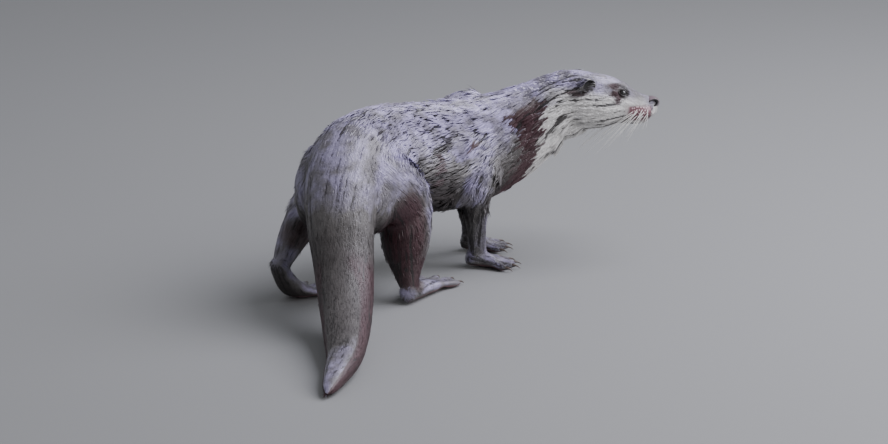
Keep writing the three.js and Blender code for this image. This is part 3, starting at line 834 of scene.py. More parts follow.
def markings(points, normals, place, shares):
    """Values at each point: a painted sheen, the sky's reflection where the wet back faces up, raised in painted
    highlights and cut by painted shade under the chest; pale on cheeks, throat and belly, with a painted highlight on
    the crown; red where the coat is dark maroon; bare on the pads of the face and feet; and dark round the eyes and
    ears, with painted shade along the mouth."""
    up = normals[:, 2]
    low = 0.5 - 0.5 * up
    legs = shares[:, SPINE_REGIONS:].sum(1)
    in_head = into_head(points)
    x, y, z = in_head.T
    ahead_of_chest = share_of(shares, "neck", "head")
    on_head = smooth_step(-60, -20, x) * ahead_of_chest
    ragged = 0.1 * (np.sin(points @ [0.5, 0.31, 0.42]) + np.sin(points @ [-0.37, 0.52, 0.6]))
    throat_edge = place + ragged - (16.4 - 3.7 * np.maximum(low - 0.3, 0) ** 1.5)
    throat = smooth_step(-0.1, 0.15, throat_edge) * smooth_step(0.28, 0.42, low)
    muzzle = on_head * smooth_step(35, 60, x)
    cheek = on_head * smooth_step(-8, -20, z + 0.14 * x) * smooth_step(97, 80, x) * (1 - 0.3 * muzzle)
    # painted highlight: the crown paler where it faces up
    crown = on_head * smooth_step(0.75, 0.95, up) * smooth_step(10, 30, x) * smooth_step(60, 35, x) * 0.2
    belly = smooth_step(0.85, 1, low) * share_of(shares, "rump", "trunk") * 0.15
    pale = np.maximum.reduce([throat * ahead_of_chest, cheek, crown, belly])
    band = smooth_step(-0.9, -0.65, throat_edge + 0.45 * smooth_step(0.5, 0.25, low))
    band *= smooth_step(0.1, -0.1, throat_edge)
    red = band * smooth_step(0.14, 0.26, low) * share_of(shares, "trunk", "neck", "head")
    red = over_spots(MAROON_SPOTS, points, red)
    right = np.maximum(-normals[:, 1], 0)
    underside = smooth_step(0.22, 0.34, low + 0.35 * right) * smooth_step(7.4, 6.4, place) * shares[:, 0]
    red = np.maximum(red, 0.9 * underside)
    for offset, sizes in EYE_STRIPES:
        red = np.maximum(red, 0.9 * spot(beside(in_head, EYE_AT + offset), sizes) * on_head)
    by_ear = beside(in_head, EAR_AT + [-7, 0, -9])
    red = np.maximum(red, 0.75 * spot(by_ear, [12, 12, 6]) * on_head)
    pad = smooth_step(55, 63, x) * smooth_step(97, 91, x) * smooth_step(-31, -35, z) * smooth_step(-56, -52, z)
    sole = legs * smooth_step(9, 4, points[:, 2]) * smooth_step(-0.1, -0.5, up)
    # painted shade along the line between the lips
    lips = bell(z - mouth_height(x), 1.6) * smooth_step(MOUTH_CORNER - 3, MOUTH_CORNER + 4, x) * (np.abs(y) > 2)
    mask = spot(beside(in_head, EYE_AT + [4, 0, 2.5]), [12, 12, 9.5])
    in_ear = spot(beside(in_head, EAR_AT + [1, 2, 0]), [11, 13, 9])
    # painted sheen: the sky's reflection, painted where the coat faces up; raised in painted highlights, cut in
    # painted shade
    painted_sheen = smooth_step(-0.3 - 0.6 * legs, 0.35 - 0.1 * legs, up) * (1 - 0.8 * red)
    painted_sheen *= 1 - 0.72 * smooth_step(2.2, 3.8, place) * smooth_step(9.2, 7.6, place)
    painted_sheen *= 0.86 - 0.16 * (share_of(shares, "tail", "rump") + legs + 2 * muzzle)
    painted_sheen = np.maximum(painted_sheen, over_spots(SHEEN_SPOTS, points, 0) * (1 - red))
    painted_sheen *= 1 - over_spots(SHADE_SPOTS, points, 0)
    return {
        "painted_sheen": painted_sheen,
        "pale": pale * (1 - red),
        "red": red,
        "bare": np.maximum(pad * on_head, sole),
        "dark": on_head * np.maximum.reduce([0.97 * mask, 0.55 * lips, 0.97 * in_ear]),
    }


# ---- The coat ----
WAVES = np.array([[0.21, 0.13, 0.17], [-0.11, 0.19, -0.23]])  # how fast they run, in radians to the mm
WAVE_TURN = 7.0  # degrees
STREAK_STEP = 3.3  # mm from point to point along a streak
STREAK_STEPS = 13
STREAK_APART = (4.8, 8.0)  # mm from streak to streak
STREAK_WAVES = 60  # how many waves their tones are made of
HANG = -0.22  # how far the hair of rump, trunk and neck turns down under its own weight
BEND_LIMITS = (-0.03, 0.045)  # the range of the skin's bend, per mm
TONE_LIMIT = 2  # the range of a streak's tone either way
CALM_SPOTS = [  # middle, half sizes, strength: where the coat lies smooth, on shoulder, haunch and flank
    [16, -103, 177, 36, 26, 20, 1.0],
    [-160, -66, 180, 50, 34, 36, 0.6],
    [-90, -66, 198, 56, 24, 26, 0.5],
]


class Skin:
    """What the coat needs to know about the skin: its points, triangles, map and the lie of the hair."""

    def __init__(self, mesh):
        self.points = places(mesh)
        self.tree = tree_of(self.points)
        mesh.calc_loop_triangles()
        self.triangles = read(mesh.loop_triangles, "vertices", 3, np.int32)
        self.corners = read(mesh.loop_triangles, "loops", 3, np.int32)
        self.map = read(mesh.uv_layers["OFBake"].data, "uv", 2)
        edges = read(mesh.edges, "vertices", 2, np.int32)
        self.normals = point_normals(self.points, self.triangles)
        flow, self.coat, self.place, self.shares = lie_of_coat(self.points)
        self.hollow = read(mesh.attributes["hollow"].data, "value", 1)[:, 0]
        flow = unit(flow) + np.array([0, 0, HANG]) * share_of(self.shares, "rump", "trunk", "neck")[:, None]
        for _ in range(3):
            flow = even_out(self.flat(flow), edges, 0.5, 4)
        self.flow = self.waved(self.flat(flow))
        self.bend = self.bending(edges)
        self.calm = self.calmness()
        self.streak = self.drawn_out()

    def flat(self, flow):
        """Directions laid down on the skin."""
        return unit(flow - dot(flow, self.normals) * self.normals)

    def bending(self, edges):
        """How fast the skin turns down along the hair, per mm: the turn of the normal over each edge, by its length
        along the hair, averaged over the edges at a point."""
        total = np.zeros((len(self.points), 2))
        smooth = unit(even_out(self.normals, edges, 0.5, 6))
        for a, b in (edges.T, edges.T[::-1]):
            step = self.points[b] - self.points[a]
            along = (step * self.flow[a]).sum(1)
            turned = ((smooth[b] - smooth[a]) * self.flow[a]).sum(1)
            total[:, 0] += np.bincount(a, along * turned, len(self.points))
            total[:, 1] += np.bincount(a, along * along, len(self.points))
        bend = total[:, :1] / np.maximum(total[:, 1:], 1e-6)
        return np.clip(even_out(bend, edges, 0.5, 6)[:, 0], *BEND_LIMITS)

    def waved(self, flow):
        """The lie of the hair turned to and fro in waves, widest on the shaggy trunk and neck."""
        wave = np.sin(self.points @ WAVES[0]) + np.sin(self.points @ WAVES[1] + 1.7)
        reach = 0.3 * (1 - self.shares[:, 0]) + 0.7 * share_of(self.shares, "trunk", "neck")
        turn = (np.radians(WAVE_TURN) * reach * wave)[:, None]
        return unit(flow * np.cos(turn) + np.cross(self.normals, flow) * np.sin(turn))

    def calmness(self):
        """How smooth the coat lies at each point: most in the calm spots, and partly on the muzzle and crown."""
        x, _, z = into_head(self.points).T
        muzzle = np.maximum(smooth_step(45, 65, x), smooth_step(0, 25, x) * smooth_step(-22, -10, z))
        muzzle *= self.shares[:, REGIONS.index("head")]
        return over_spots(CALM_SPOTS, self.points, 0.55 * muzzle)

    def drawn_out(self):
        """Random tones drawn out along the hair: each point takes the sum of those met on the way ahead and on the
        way back, the far ones for less. Their spread is 1, and they fade where the coat is calm."""
        ways = unit(RNG.standard_normal((STREAK_WAVES, 3)))
        ways = ways * (FULL_TURN / RNG.uniform(*STREAK_APART, (STREAK_WAVES, 1)))
        tones = np.sin(self.points @ ways.T + RNG.uniform(0, FULL_TURN, STREAK_WAVES)).sum(1)
        total = tones.copy()
        for way in (STREAK_STEP, -STREAK_STEP):
            following = nearest(self.tree, self.points + way * self.flow)
            at = following
            for i in range(STREAK_STEPS):
                total += tones[at] * (1 - i / STREAK_STEPS)
                at = following[at]
        return np.clip((1 - self.calm) * total / total.std(), -TONE_LIMIT, TONE_LIMIT)

    def sample(self, weight, count):
        """Roots sown over the triangles by area and weight: which triangle, and the shares of its corners."""
        a, b, c = (self.points[self.triangles[:, k]] for k in range(3))
        area = np.linalg.norm(np.cross(b - a, c - a), axis=1)
        chance = area * weight[self.triangles].mean(1)
        chosen = np.searchsorted(np.cumsum(chance) / chance.sum(), RNG.random(count))
        chosen = np.minimum(chosen, len(chance) - 1)
        u, v = RNG.random((2, count))
        over = u + v > 1
        u, v = np.where(over, 1 - u, u), np.where(over, 1 - v, v)
        return chosen, np.column_stack([1 - u - v, u, v])


def mixed(values, triangles, shares):
    """Values at points on triangles, from those at their corners."""
    corners = values[triangles]
    if corners.ndim == 3:
        return (corners * shares[..., None]).sum(1)
    return (corners * shares).sum(1)


LOCK_WIDTHS = {2: [0.8, 1.0], 3: [0.7, 1.0, 0.66]}  # width of a lock's rings, as shares of its widest
RING_SHADES = [0, 0.65, 0.9]  # painted shade deep in the coat: how far towards the tip's shade each ring is, the root darkest
MAP_PATCH = 0.0015  # half a lock's patch in the map
MAP_ALONG = [-1.0, -0.2, 0.5]  # where each ring is along its patch
BURIED = 0.7  # how deep a root is under the skin
MIDDLE, LATE = 0.42, 0.62  # where the second ring is along a lock, and the third between that and the tip
LENGTHS, LIFTS, WIDTHS = (0.7, 1.2), (0.8, 1.1), (0.8, 1.25)  # the ranges that locks vary over, as shares
CALMED = {"lift": 0.6, "ridge": 0.75, "tone": 0.85}  # how much of each is lost where the coat is calm
TO_A_LEADER = 7  # one lock in so many leads a clump
SLIT_SHADE = 0.9  # how dark the painted shade in the slits between streaks is
SLIT_EDGES = (-0.85, -1.35)  # the tones between which a slit darkens
ELBOW_TUFT = np.array([[8.0, -95.0, 112.0], [13, 11, 11], [0, -84, 92]])  # middle, half sizes, where it points
TUFT_PULL = 0.85


def clumped(tips, mids, reach, pull):
    """Tips and middles drawn towards those of the nearest leading lock, so that wet locks end in shared points. Also
    which leader each follows and how far off it is, as a share of the reach."""
    leaders = np.arange(0, len(mids), TO_A_LEADER)
    lead = leaders[nearest(tree_of(mids[leaders]), mids)]
    gap = np.linalg.norm(mids - mids[lead], axis=1)
    near = np.clip(1.6 - gap / reach, 0, 1) * pull
    tips = tips + (tips[lead] - tips) * near[:, None]
    mids = mids + (mids[lead] - mids) * 0.35 * near[:, None]
    return tips, mids, lead, np.clip(gap / reach, 0, 1)


def map_locks(mesh, centre, levels):
    """The map OFBake of locks: each has a small patch about its root's place in the skin's map."""
    across = np.append(np.tile([1.0, 0, -1], levels), 0.0)
    along = np.append(np.repeat(MAP_ALONG[:levels], 3), 1.0)
    centre = np.clip(centre, MAP_PATCH, 1 - MAP_PATCH)
    spots = centre[:, None] + MAP_PATCH * np.column_stack([across, along])
    loops = read(mesh.loops, "vertex_index", 1, np.int32)[:, 0]
    uv = mesh.uv_layers.new(name="OFBake")
    uv.data.foreach_set("uv", spots.reshape(-1, 2)[loops].astype(np.float32).ravel())


def sown_coat(skin, name, weight, count, style):
    """One region's locks in a style, flat-shaded. Each is a closed three-sided taper of two or three rings and a tip:
    it leaves the skin at its root, follows the hair over the skin's own bend, and is drawn to its clump's tip."""
    chosen, shares = skin.sample(weight, count)
    corners = skin.triangles[chosen]

    def here(values):
        return mixed(values, corners, shares)

    root, normal, depth, flow = here(skin.points), unit(here(skin.normals)), here(skin.coat), here(skin.flow)
    bend, calm, streak = here(skin.bend), here(skin.calm), here(skin.streak) * style["streaks"]
    across = np.cross(normal, flow)
    turn = np.radians(style["turn"]) * RNG.normal(0, 0.7, count)
    flow = unit(flow * np.cos(turn)[:, None] + across * np.sin(turn)[:, None])
    length = style["length"] * depth * RNG.uniform(*LENGTHS, count)

    def over_skin(share, height):
        out = length * share
        drop = -0.5 * bend * out**2 + height
        return root + flow * out[:, None] + normal * drop[:, None]

    lift = style["lift"] * depth * RNG.uniform(*LIFTS, count) * (1 + 0.25 * np.clip(streak, -2, 1.2))
    lift *= 1 - CALMED["lift"] * calm
    tips, mids = over_skin(1.0, lift * 0.75), over_skin(MIDDLE, lift * 0.9)
    tips, mids, lead, off = clumped(tips, mids, style["clump"] * depth, style["pull"])
    tuft = TUFT_PULL * spot(root - ELBOW_TUFT[0], ELBOW_TUFT[1])[:, None]
    tips = tips + (ELBOW_TUFT[2] + 0.15 * (root - ELBOW_TUFT[0]) - tips) * tuft
    mids = mids + (tips - mids) * 0.3 * tuft
    mids = mids + normal * (0.25 * (1 - off) * lift)[:, None]
    late = mids + (tips - mids) * LATE + normal * (0.18 * lift)[:, None]

    levels = style["rings"]
    stems = np.stack([root - normal * BURIED, mids, late], 1)[:, :levels]
    ahead = unit(np.stack([mids - root, tips - root, tips - mids], 1))[:, :levels]
    side = unit(np.cross(normal[:, None], ahead))
    above = np.cross(ahead, side)
    half = 0.5 * style["width"] * (depth**0.5 * RNG.uniform(*WIDTHS, count))[:, None, None]
    half = half * np.array(LOCK_WIDTHS[levels])[:, None]
    ridge = (style["ridge"] * (1 - CALMED["ridge"] * calm))[:, None, None]
    rings = np.stack([stems + side * half, stems + above * half * ridge, stems - side * half], 2)
    for points in (rings, tips):
        points[..., 2] = np.maximum(points[..., 2], LOWEST["hair"])
    mesh = mesh_from(name, tube_points(rings, tips), tube_faces(levels, 3, count), smooth=False)
    map_locks(mesh, mixed(skin.map, skin.corners[chosen], shares), levels)

    marks = markings(root, normal, here(skin.place), here(skin.shares))
    own_tone = RNG.normal(0, 0.35, count)
    vary = style["contrast"] * (1 - CALMED["tone"] * calm)
    tone = np.clip(0.5 + vary * (0.2 * own_tone[lead] + 0.15 * own_tone) + 0.16 * streak, 0, 1)
    # painted shade in the slits between clumped streaks
    slits = smooth_step(*SLIT_EDGES, streak + 0.8 * own_tone[lead])
    marks["dark"] = np.maximum(marks["dark"], SLIT_SHADE * slits)
    for key, values in {**marks, "tone": tone, "hollow": here(skin.hollow)}.items():
        put_value(mesh, key, np.repeat(values, 3 * levels + 1))
    # painted shade: each lock darker towards its root, deep in the coat
    darkening = 1 - np.append(np.repeat(RING_SHADES[:levels], 3), 1.0)
    put_value(mesh, "tip", (1 - vary[:, None] * darkening).ravel())
    return mesh


# ---- Materials ----
def new_material(name, **values):
    """A material whose principled surface has these values: the material, its tree and that surface."""
    material = bpy.data.materials.new(name)
    material.use_nodes = True
    tree = material.node_tree
    surface = tree.nodes["Principled BSDF"]
    for key, value in values.items():
        surface.inputs[key].default_value = value
    return material, tree, surface


def node(tree, kind, **values):
    """A node, with its settings or the values of its named sockets."""
    made = tree.nodes.new(kind)
    for key, value in values.items():
        if key in made.inputs:
            made.inputs[key].default_value = value
        else:
            setattr(made, key, value)
    return made


def value_of(tree, name):
    """The number at each point that has this name."""
    return node(tree, "ShaderNodeAttribute", attribute_name=name).outputs["Fac"]


def noise(tree, scale, detail=3.0, **more):
    """Noise on the otter's own place, in cycles to the metre."""
    place = node(tree, "ShaderNodeTexCoord").outputs["Object"]
    made = node(tree, "ShaderNodeTexNoise", Scale=scale, Detail=detail, **more)
    tree.links.new(place, made.inputs["Vector"])
    return made.outputs["Fac"]


def stretched(tree, value, low, high, to_low=0.0, to_high=1.0):
    """A number carried from one range to another, held at its ends."""
    ends = {"From Min": low, "From Max": high, "To Min": to_low, "To Max": to_high}
    made = node(tree, "ShaderNodeMapRange", **ends)
    tree.links.new(value, made.inputs["Value"])
    return made.outputs["Result"]


def multiplied(tree, a, b):
    """The product of two numbers."""
    made = node(tree, "ShaderNodeMath", operation="MULTIPLY")
    for socket, value in zip(made.inputs, (a, b)):
        if isinstance(value, float):
            socket.default_value = value
        else:
            tree.links.new(value, socket)
    return made.outputs[0]


def coloured(tree, share, under, over, blend="MIX"):
    """One colour over another by a share; each is a colour or a socket."""
    made = node(tree, "ShaderNodeMix", data_type="RGBA", blend_type=blend)
    for socket, value in ((made.inputs[0], share), (made.inputs[6], under), (made.inputs[7], over)):
        if isinstance(value, (tuple, float)):
            socket.default_value = (*value, 1.0) if isinstance(value, tuple) else value
        else:
            tree.links.new(value, socket)
    return made.outputs[2]


def bumped(tree, height, distance, strength):
    """A surface's normal with a height on it."""
    made = node(tree, "ShaderNodeBump", Distance=distance, Strength=strength)
    tree.links.new(height, made.inputs["Height"])
    return made.outputs["Normal"]


DEEP_BROWN = (0.030, 0.022, 0.022)
# the lavender of the sky's reflection, painted on the wet coat
SHEEN_LAVENDER = (0.455, 0.415, 0.65)
OLIVE_GREY = (0.27, 0.262, 0.25)
PALE = (0.74, 0.725, 0.71)
MAROON = (0.050, 0.015, 0.021)
PINK = (0.19, 0.085, 0.10)
BLACK_BROWN = (0.012, 0.008, 0.008)
# painted shade down in an ear's bowl
EAR_HOLLOW_SHADE = (0.004, 0.003, 0.003)


def fur():
    """Wet fur: brown, with the sky's lavender reflection painted on where it faces the sky, paler below, in tones that
    change from lock to lock, with painted shade deep in the coat, in its slits and down in the ears.
    """
    film = {"Specular IOR Level": 0.6, "Coat Weight": 0.2, "Coat Roughness": 0.22}
    material, tree, surface = new_material("wet_fur", **film)
    patches = noise(tree, 45.0, 4.0)
    fine = noise(tree, 420.0, 3.0)
    # painted sheen: dark brown where none, through the olive colour to the sky's lavender reflection where most
    shine = multiplied(tree, value_of(tree, "painted_sheen"), stretched(tree, patches, 0.38, 0.6, 0.6, 1.0))
    wet = coloured(tree, stretched(tree, shine, 0.3, 0.8), OLIVE_GREY, SHEEN_LAVENDER)
    colour = coloured(tree, shine, DEEP_BROWN, wet)
    colour = coloured(tree, value_of(tree, "pale"), colour, PALE)
    colour = coloured(tree, value_of(tree, "red"), colour, MAROON)
    colour = coloured(tree, value_of(tree, "bare"), colour, PINK)
    tone = stretched(tree, value_of(tree, "tone"), 0.0, 1.0, 0.55, 1.45)
    # painted shade deep in the coat, from the tip value
    depth = stretched(tree, value_of(tree, "tip"), 0.0, 1.0, 0.34, 1.0)
    grain = stretched(tree, fine, 0.3, 0.7, 0.92, 1.08)
    shade = multiplied(tree, multiplied(tree, tone, depth), grain)
    colour = coloured(tree, 1.0, colour, shade, "MULTIPLY")
    # dark round the eyes and ears, with painted shade along the mouth and in the slits
    colour = coloured(tree, value_of(tree, "dark"), colour, BLACK_BROWN)
    # painted shade down in the ears' bowls
    colour = coloured(tree, value_of(tree, "hollow"), colour, EAR_HOLLOW_SHADE)
    tree.links.new(colour, surface.inputs["Base Color"])
    tree.links.new(stretched(tree, shine, 0.15, 0.65, 0.56, 0.34), surface.inputs["Roughness"])
    tree.links.new(bumped(tree, noise(tree, 1100.0, 2.0), 0.0005, 0.2), surface.inputs["Normal"])
    return material


FUR = fur()
SKIN_MESH = skin_mesh()
unwrap(SKIN_MESH)
SKIN = Skin(SKIN_MESH)
SKIN_MARKS = markings(SKIN.points, SKIN.normals, SKIN.place, SKIN.shares)
for key, values in SKIN_MARKS.items():
    put_value(SKIN_MESH, key, values)
put_value(SKIN_MESH, "tone", 0.5 + 0.12 * SKIN.streak)
put_value(SKIN_MESH, "tip", 0.85 - 0.5 * share_of(SKIN.shares, "trunk", "neck"))  # painted shade: the skin darker under shaggy locks
FLESH = ["tail_root", "tail_middle", "tail_tip", "trunk", "neck", "head", "ear_right", "ear_left"]
FLESH += [f"{part}_{name}" for part in ("leg", "foot") for name in LIMBS]
add_piece("skin", SKIN_MESH, FUR, "fur", *FLESH)

# Length, lift and reach of a clump, as multiples of the coat's depth, and width, of its square root; how far a clump
# pulls; the jitter of direction in degrees; how much the tones differ from lock to lock and from streak to streak; how
# high a lock's ridge is; how many rings it has.
SHAGGY = {
    "length": 5.6, "width": 0.95, "lift": 0.85, "clump": 0.8, "pull": 0.7, "turn": 5,
    "contrast": 0.7, "streaks": 1.3, "ridge": 0.65, "rings": 3,
}
SLEEK = {
    "length": 7.0, "width": 0.85, "lift": 0.34, "clump": 0.9, "pull": 0.12, "turn": 2,
    "contrast": 0.35, "streaks": 1.1, "ridge": 0.2, "rings": 2,
}
STRANDED = {**SHAGGY, "streaks": 1.6}
SLICK = {**SLEEK, "length": 6.5, "lift": 0.24, "contrast": 0.25, "streaks": 0.9, "ridge": 0.12}
SHORT = {
    "length": 4.8, "width": 0.72, "lift": 0.55, "clump": 0.9, "pull": 0.5, "turn": 5,
    "contrast": 0.8, "streaks": 1.35, "ridge": 0.6, "rings": 2,
}
EYE_CLEAR = 8.2  # no locks nearer than this to an eye's middle
SOLE_HEIGHT = 4  # or lower than this under a foot
COATS = {  # region: how many locks, and their style
    "tail": (17000, SLICK),
    "rump": (18000, SLEEK),
    "trunk": (12400, SHAGGY),
    "neck": (12000, STRANDED),
    "head": (18000, SHORT),
    "hind_right": (11000, SLEEK),
    "hind_left": (9500, SLEEK),
    "fore_right": (8500, SHORT),
    "fore_left": (8500, SHORT),
}


def grow_coat():
    """Each region's locks as a piece of their own. Where a region ends, its locks thin out among the next one's. None
    grow on the eyes, in the ears, or on the bare pads and soles."""
    faces_down = (SKIN.points[:, 2] < SOLE_HEIGHT) & (SKIN.normals[:, 2] < -0.3)
    sole = faces_down & (SKIN.shares[:, SPINE_REGIONS:].sum(1) > 0.5)
    by_eye = eye_gap(into_head(SKIN.points)) < EYE_CLEAR
    hairy = ~(sole | by_eye | (SKIN.hollow > 0.3) | (SKIN_MARKS["bare"] > 0.5))
    apart = np.maximum(SKIN.coat, 0.6) ** 1.2
    share = 1.0
    for i, (region, (count, style)) in enumerate(COATS.items()):
        mesh = sown_coat(SKIN, "coat_" + region, SKIN.shares[:, i] / apart * hairy, int(count * share), style)
        add_piece("coat_" + region, mesh, FUR, "fur")


grow_coat()


# ---- Eyes, nose, claws and whiskers ----
def glossy(name, colour, roughness, coat):
    """A smooth wet finish with a soft grain in its colour: the material, its tree and its surface."""
    film = {"Roughness": roughness, "Coat Weight": coat, "Coat Roughness": 0.06}
    material, tree, surface = new_material(name, **film)
    grain = stretched(tree, noise(tree, 900.0, 2.0), 0.3, 0.7, 0.75, 1.25)
    tree.links.new(coloured(tree, 1.0, colour, grain, "MULTIPLY"), surface.inputs["Base Color"])
    return material, tree, surface


EYE_RINGS = [  # how far round from the front, as a share of half a turn, and colour: pupil, iris and rim
    (0.0, (0.002, 0.002, 0.002)),
    (0.27, (0.003, 0.002, 0.002)),
    (0.31, (0.020, 0.011, 0.008)),
    (0.5, (0.014, 0.008, 0.006)),
    (0.62, (0.010, 0.008, 0.008)),
]


def eye_finish():
    """The eye: black pupil, dark brown iris and a dark rim, under a clear wet coat."""
    film = {"Roughness": 0.08, "Coat Weight": 1.0, "Coat Roughness": 0.02}
    material, tree, surface = new_material("wet_eye", **film)
    ramp = node(tree, "ShaderNodeValToRGB")
    tree.links.new(value_of(tree, "off_axis"), ramp.inputs["Fac"])
    stops = ramp.color_ramp.elements
    stops[1].position = EYE_RINGS[-1][0]
    for position, _ in EYE_RINGS[1:-1]:
        stops.new(position)
    for stop, (_, colour) in zip(stops, EYE_RINGS):
        stop.color = (*colour, 1)
    tree.links.new(ramp.outputs["Color"], surface.inputs["Base Color"])
    return material


def eyeball(mirror):
    """An eye: a ball with a cornea swelling at its front, and at each point how far round it is from the front."""
    middle, out, long, _ = eye_axes(mirror)
    rings, sides = 40, 48
    turn = np.linspace(np.pi, 0.01, rings)[:, None]
    angle = circle(sides)
    radius = (EYE_RADIUS - 0.5) + 0.55 * bell(turn, 0.62)
    cross = np.cross(out, long)
    around = np.cos(angle)[..., None] * long + np.sin(angle)[..., None] * cross
    points = middle + (radius * np.sin(turn))[..., None] * around + (radius * np.cos(turn))[..., None] * out
    tip = middle + out * radius[-1, 0]
    off = np.append(np.repeat(turn[:, 0], sides), 0) / np.pi
    return tube_points(from_head(points), from_head(tip)), tube_faces(rings, sides), off


def lids(mirror):
    """The wet rims of the lids: a round bead carried round the almond of the opening, lying on the ball."""
    middle, out, long, up = eye_axes(mirror)
    around, across = 72, 10
    a = circle(around)[:, None]
    b = circle(across)
    corner = 1 + 0.12 * np.abs(np.cos(a)) ** 6
    path = [LID_HALF[0] * 0.96 * corner * np.cos(a), LID_HALF[1] * 0.9 * np.sin(a) * (1 - 0.1 * np.cos(a))]
    away = np.hypot(*path)
    height = np.sqrt(np.maximum(EYE_RADIUS**2 - away**2, 3.0)) + LID_CLEAR
    grid = [p + p / away * LID_BEAD * np.cos(b) for p in path]
    grid.append(height + LID_BEAD * np.sin(b))
    points = middle
    for amount, way in zip(grid, (long, up, out)):
        points = points + amount[..., None] * way
    i, j = np.meshgrid(np.arange(around), np.arange(across), indexing="ij")
    here, beyond, turn = i * across, (i + 1) % around * across, (j + 1) % across
    faces = np.stack([here + j, beyond + j, beyond + turn, here + turn], -1)
    return from_head(points.reshape(-1, 3)), [faces.reshape(-1, 4)]


EYE = eye_finish()
for name, mirror in (("right", RIGHT), ("left", LEFT)):
    points, faces, off = eyeball(mirror)
    mesh = facing_out(mesh_from("eyeball_" + name, points, faces))
    put_value(mesh, "off_axis", off)
    add_piece("eyeball_" + name, mesh, EYE, "eye", "eye_" + name)
DARK_SKIN = glossy("dark_wet_skin", (0.018, 0.012, 0.012), 0.3, 0.5)[0]
points, faces = gathered([lids(mirror) for mirror in (RIGHT, LEFT)])
add_piece("lids", facing_out(mesh_from("lids", points, faces)), DARK_SKIN, "nose")


NOSE_HALF = np.array([11.4, 12.2, 8.8])
NOSTRIL = unit(np.array([0.14, 0.97, 0.1]))  # the way to the left one from the pad's middle
NOSTRIL_RIM, NOSTRIL_DEEP = 0.07, 0.5  # as shares of the pad's half size
CLEFT_DEEP, CLEFT_WIDE = 0.05, 0.07
CHIN_NARROW = 0.22  # how much narrower the pad is at its bottom
# painted shade down in the nostrils
NOSTRIL_SHADE = (0.004, 0.002, 0.003)


def nose_pad():
    """The nose pad: an egg whose front is cleft down its middle and sunk in at two nostrils with raised rims."""
    rings, sides = 90, 120
    way = ball_ways(rings, sides)
    size = np.ones(way.shape[:2])
    size -= CLEFT_DEEP * bell(way[..., 1], CLEFT_WIDE) * smooth_step(0.2, 0.5, way[..., 0])
    inside = np.zeros(way.shape[:2])
    for side in (1, -1):
        gap = way - NOSTRIL * [1, side, 1]
        away = np.sqrt((gap[..., 0] / 1.1) ** 2 + (gap[..., 1] / 1.35) ** 2 + (gap[..., 2] - 0.2 * gap[..., 0]) ** 2)
        size += NOSTRIL_RIM * bell(away - 0.55, 0.1) - NOSTRIL_DEEP * smooth_step(0.52, 0.34, away)
        inside = np.maximum(inside, smooth_step(0.64, 0.54, away))
    points = way * size[..., None] * NOSE_HALF
    points[..., 1] *= 1 - CHIN_NARROW * smooth_step(0, -1, way[..., 2])
    points = from_head(points + NOSE_AT)
    tip = from_head(NOSE_AT + [0, 0, NOSE_HALF[2]])
    mesh = facing_out(mesh_from("nose_pad", tube_points(points, tip), tube_faces(rings, sides)))
    # painted shade down in the nostrils
    put_value(mesh, "hollow", np.append(inside.ravel(), 0.0))
    return mesh


def nose_finish():
    """The nose pad's wet pebbled skin."""
    material, tree, surface = glossy("wet_nose", (0.16, 0.115, 0.135), 0.3, 0.6)
    bare = surface.inputs["Base Color"].links[0].from_socket
    # painted shade in the nostrils
    dark = coloured(tree, value_of(tree, "hollow"), bare, NOSTRIL_SHADE)
    tree.links.new(dark, surface.inputs["Base Color"])
    place = node(tree, "ShaderNodeTexCoord").outputs["Object"]
    pebbles = node(tree, "ShaderNodeTexVoronoi", Scale=1100.0)
    tree.links.new(place, pebbles.inputs["Vector"])
    tree.links.new(bumped(tree, pebbles.outputs["Distance"], 0.0005, 0.7), surface.inputs["Normal"])
    return material


add_piece("nose_pad", nose_pad(), nose_finish(), "nose", "nose")


def tubes(paths, radii, sides=6):
    """Closed tapered tubes along paths of shape (count, steps, 3) with radii of shape (count, steps): each ring is
    centre + radius * (side cos + up sin), its side level."""
    ahead = unit(np.gradient(paths, axis=1))
    side = unit(np.cross([0.02, 0.03, 1.0], ahead))
    up = np.cross(ahead, side)
    angle = circle(sides)[:, None]
    rim = np.cos(angle) * side[:, :, None] + np.sin(angle) * up[:, :, None]
    rings = paths[:, :, None] + radii[..., None, None] * rim
    tips = paths[:, -1] + ahead[:, -1] * radii[:, -1:]
    return tube_points(rings, tips), tube_faces(paths.shape[1], sides, len(paths))


def claws(limb):
    """The five claws of a foot: hooked round cones from the tips of the toes."""
    steps = np.linspace(0, 1, 10)
    paths, radii = [], []
    for root, heading, length, radius in toes_of(limb):
        out = length * 0.97 - CLAW_BURIED + CLAW_LENGTH * steps
        height = radius - TOE_COAT + 0.5 * np.sin(np.pi * steps) - CLAW_DROP * steps**2.4
        paths.append([onward(root, heading, *place) for place in zip(out, height)])
        radii.append(CLAW_RADIUS * (1 - 0.82 * steps**1.5))
    return tubes(np.array(paths), np.array(radii), 12)


def claw_finish():
    """Horn: one dark colour with a soft grain, and a fine bump."""
    material, tree, surface = glossy("horn", (0.085, 0.062, 0.05), 0.36, 0.3)
    tree.links.new(bumped(tree, noise(tree, 2200.0, 2.0), 0.0002, 0.5), surface.inputs["Normal"])
    return material


HORN = claw_finish()
for name, limb in LIMBS.items():
    points, faces = claws(limb)
    nodes = [f"claw_{name}_{i + 1}" for i in range(5)]
    add_piece("claws_" + name, facing_out(mesh_from("claws_" + name, points, faces)), HORN, "claw", *nodes)


WHISKER_X = np.arange(61, 89, 4.0)  # the roots of the first row
WHISKER_ROWS, WHISKER_TOP, WHISKER_DROP = 6, -35.0, 2.9  # how many rows, the first one's z, and from row to row
WHISKER_RADIUS = 0.56
WHISKER_STEPS = 12
FOLLICLE_WIDE, FOLLICLE_HIGH = 1.2, 0.6


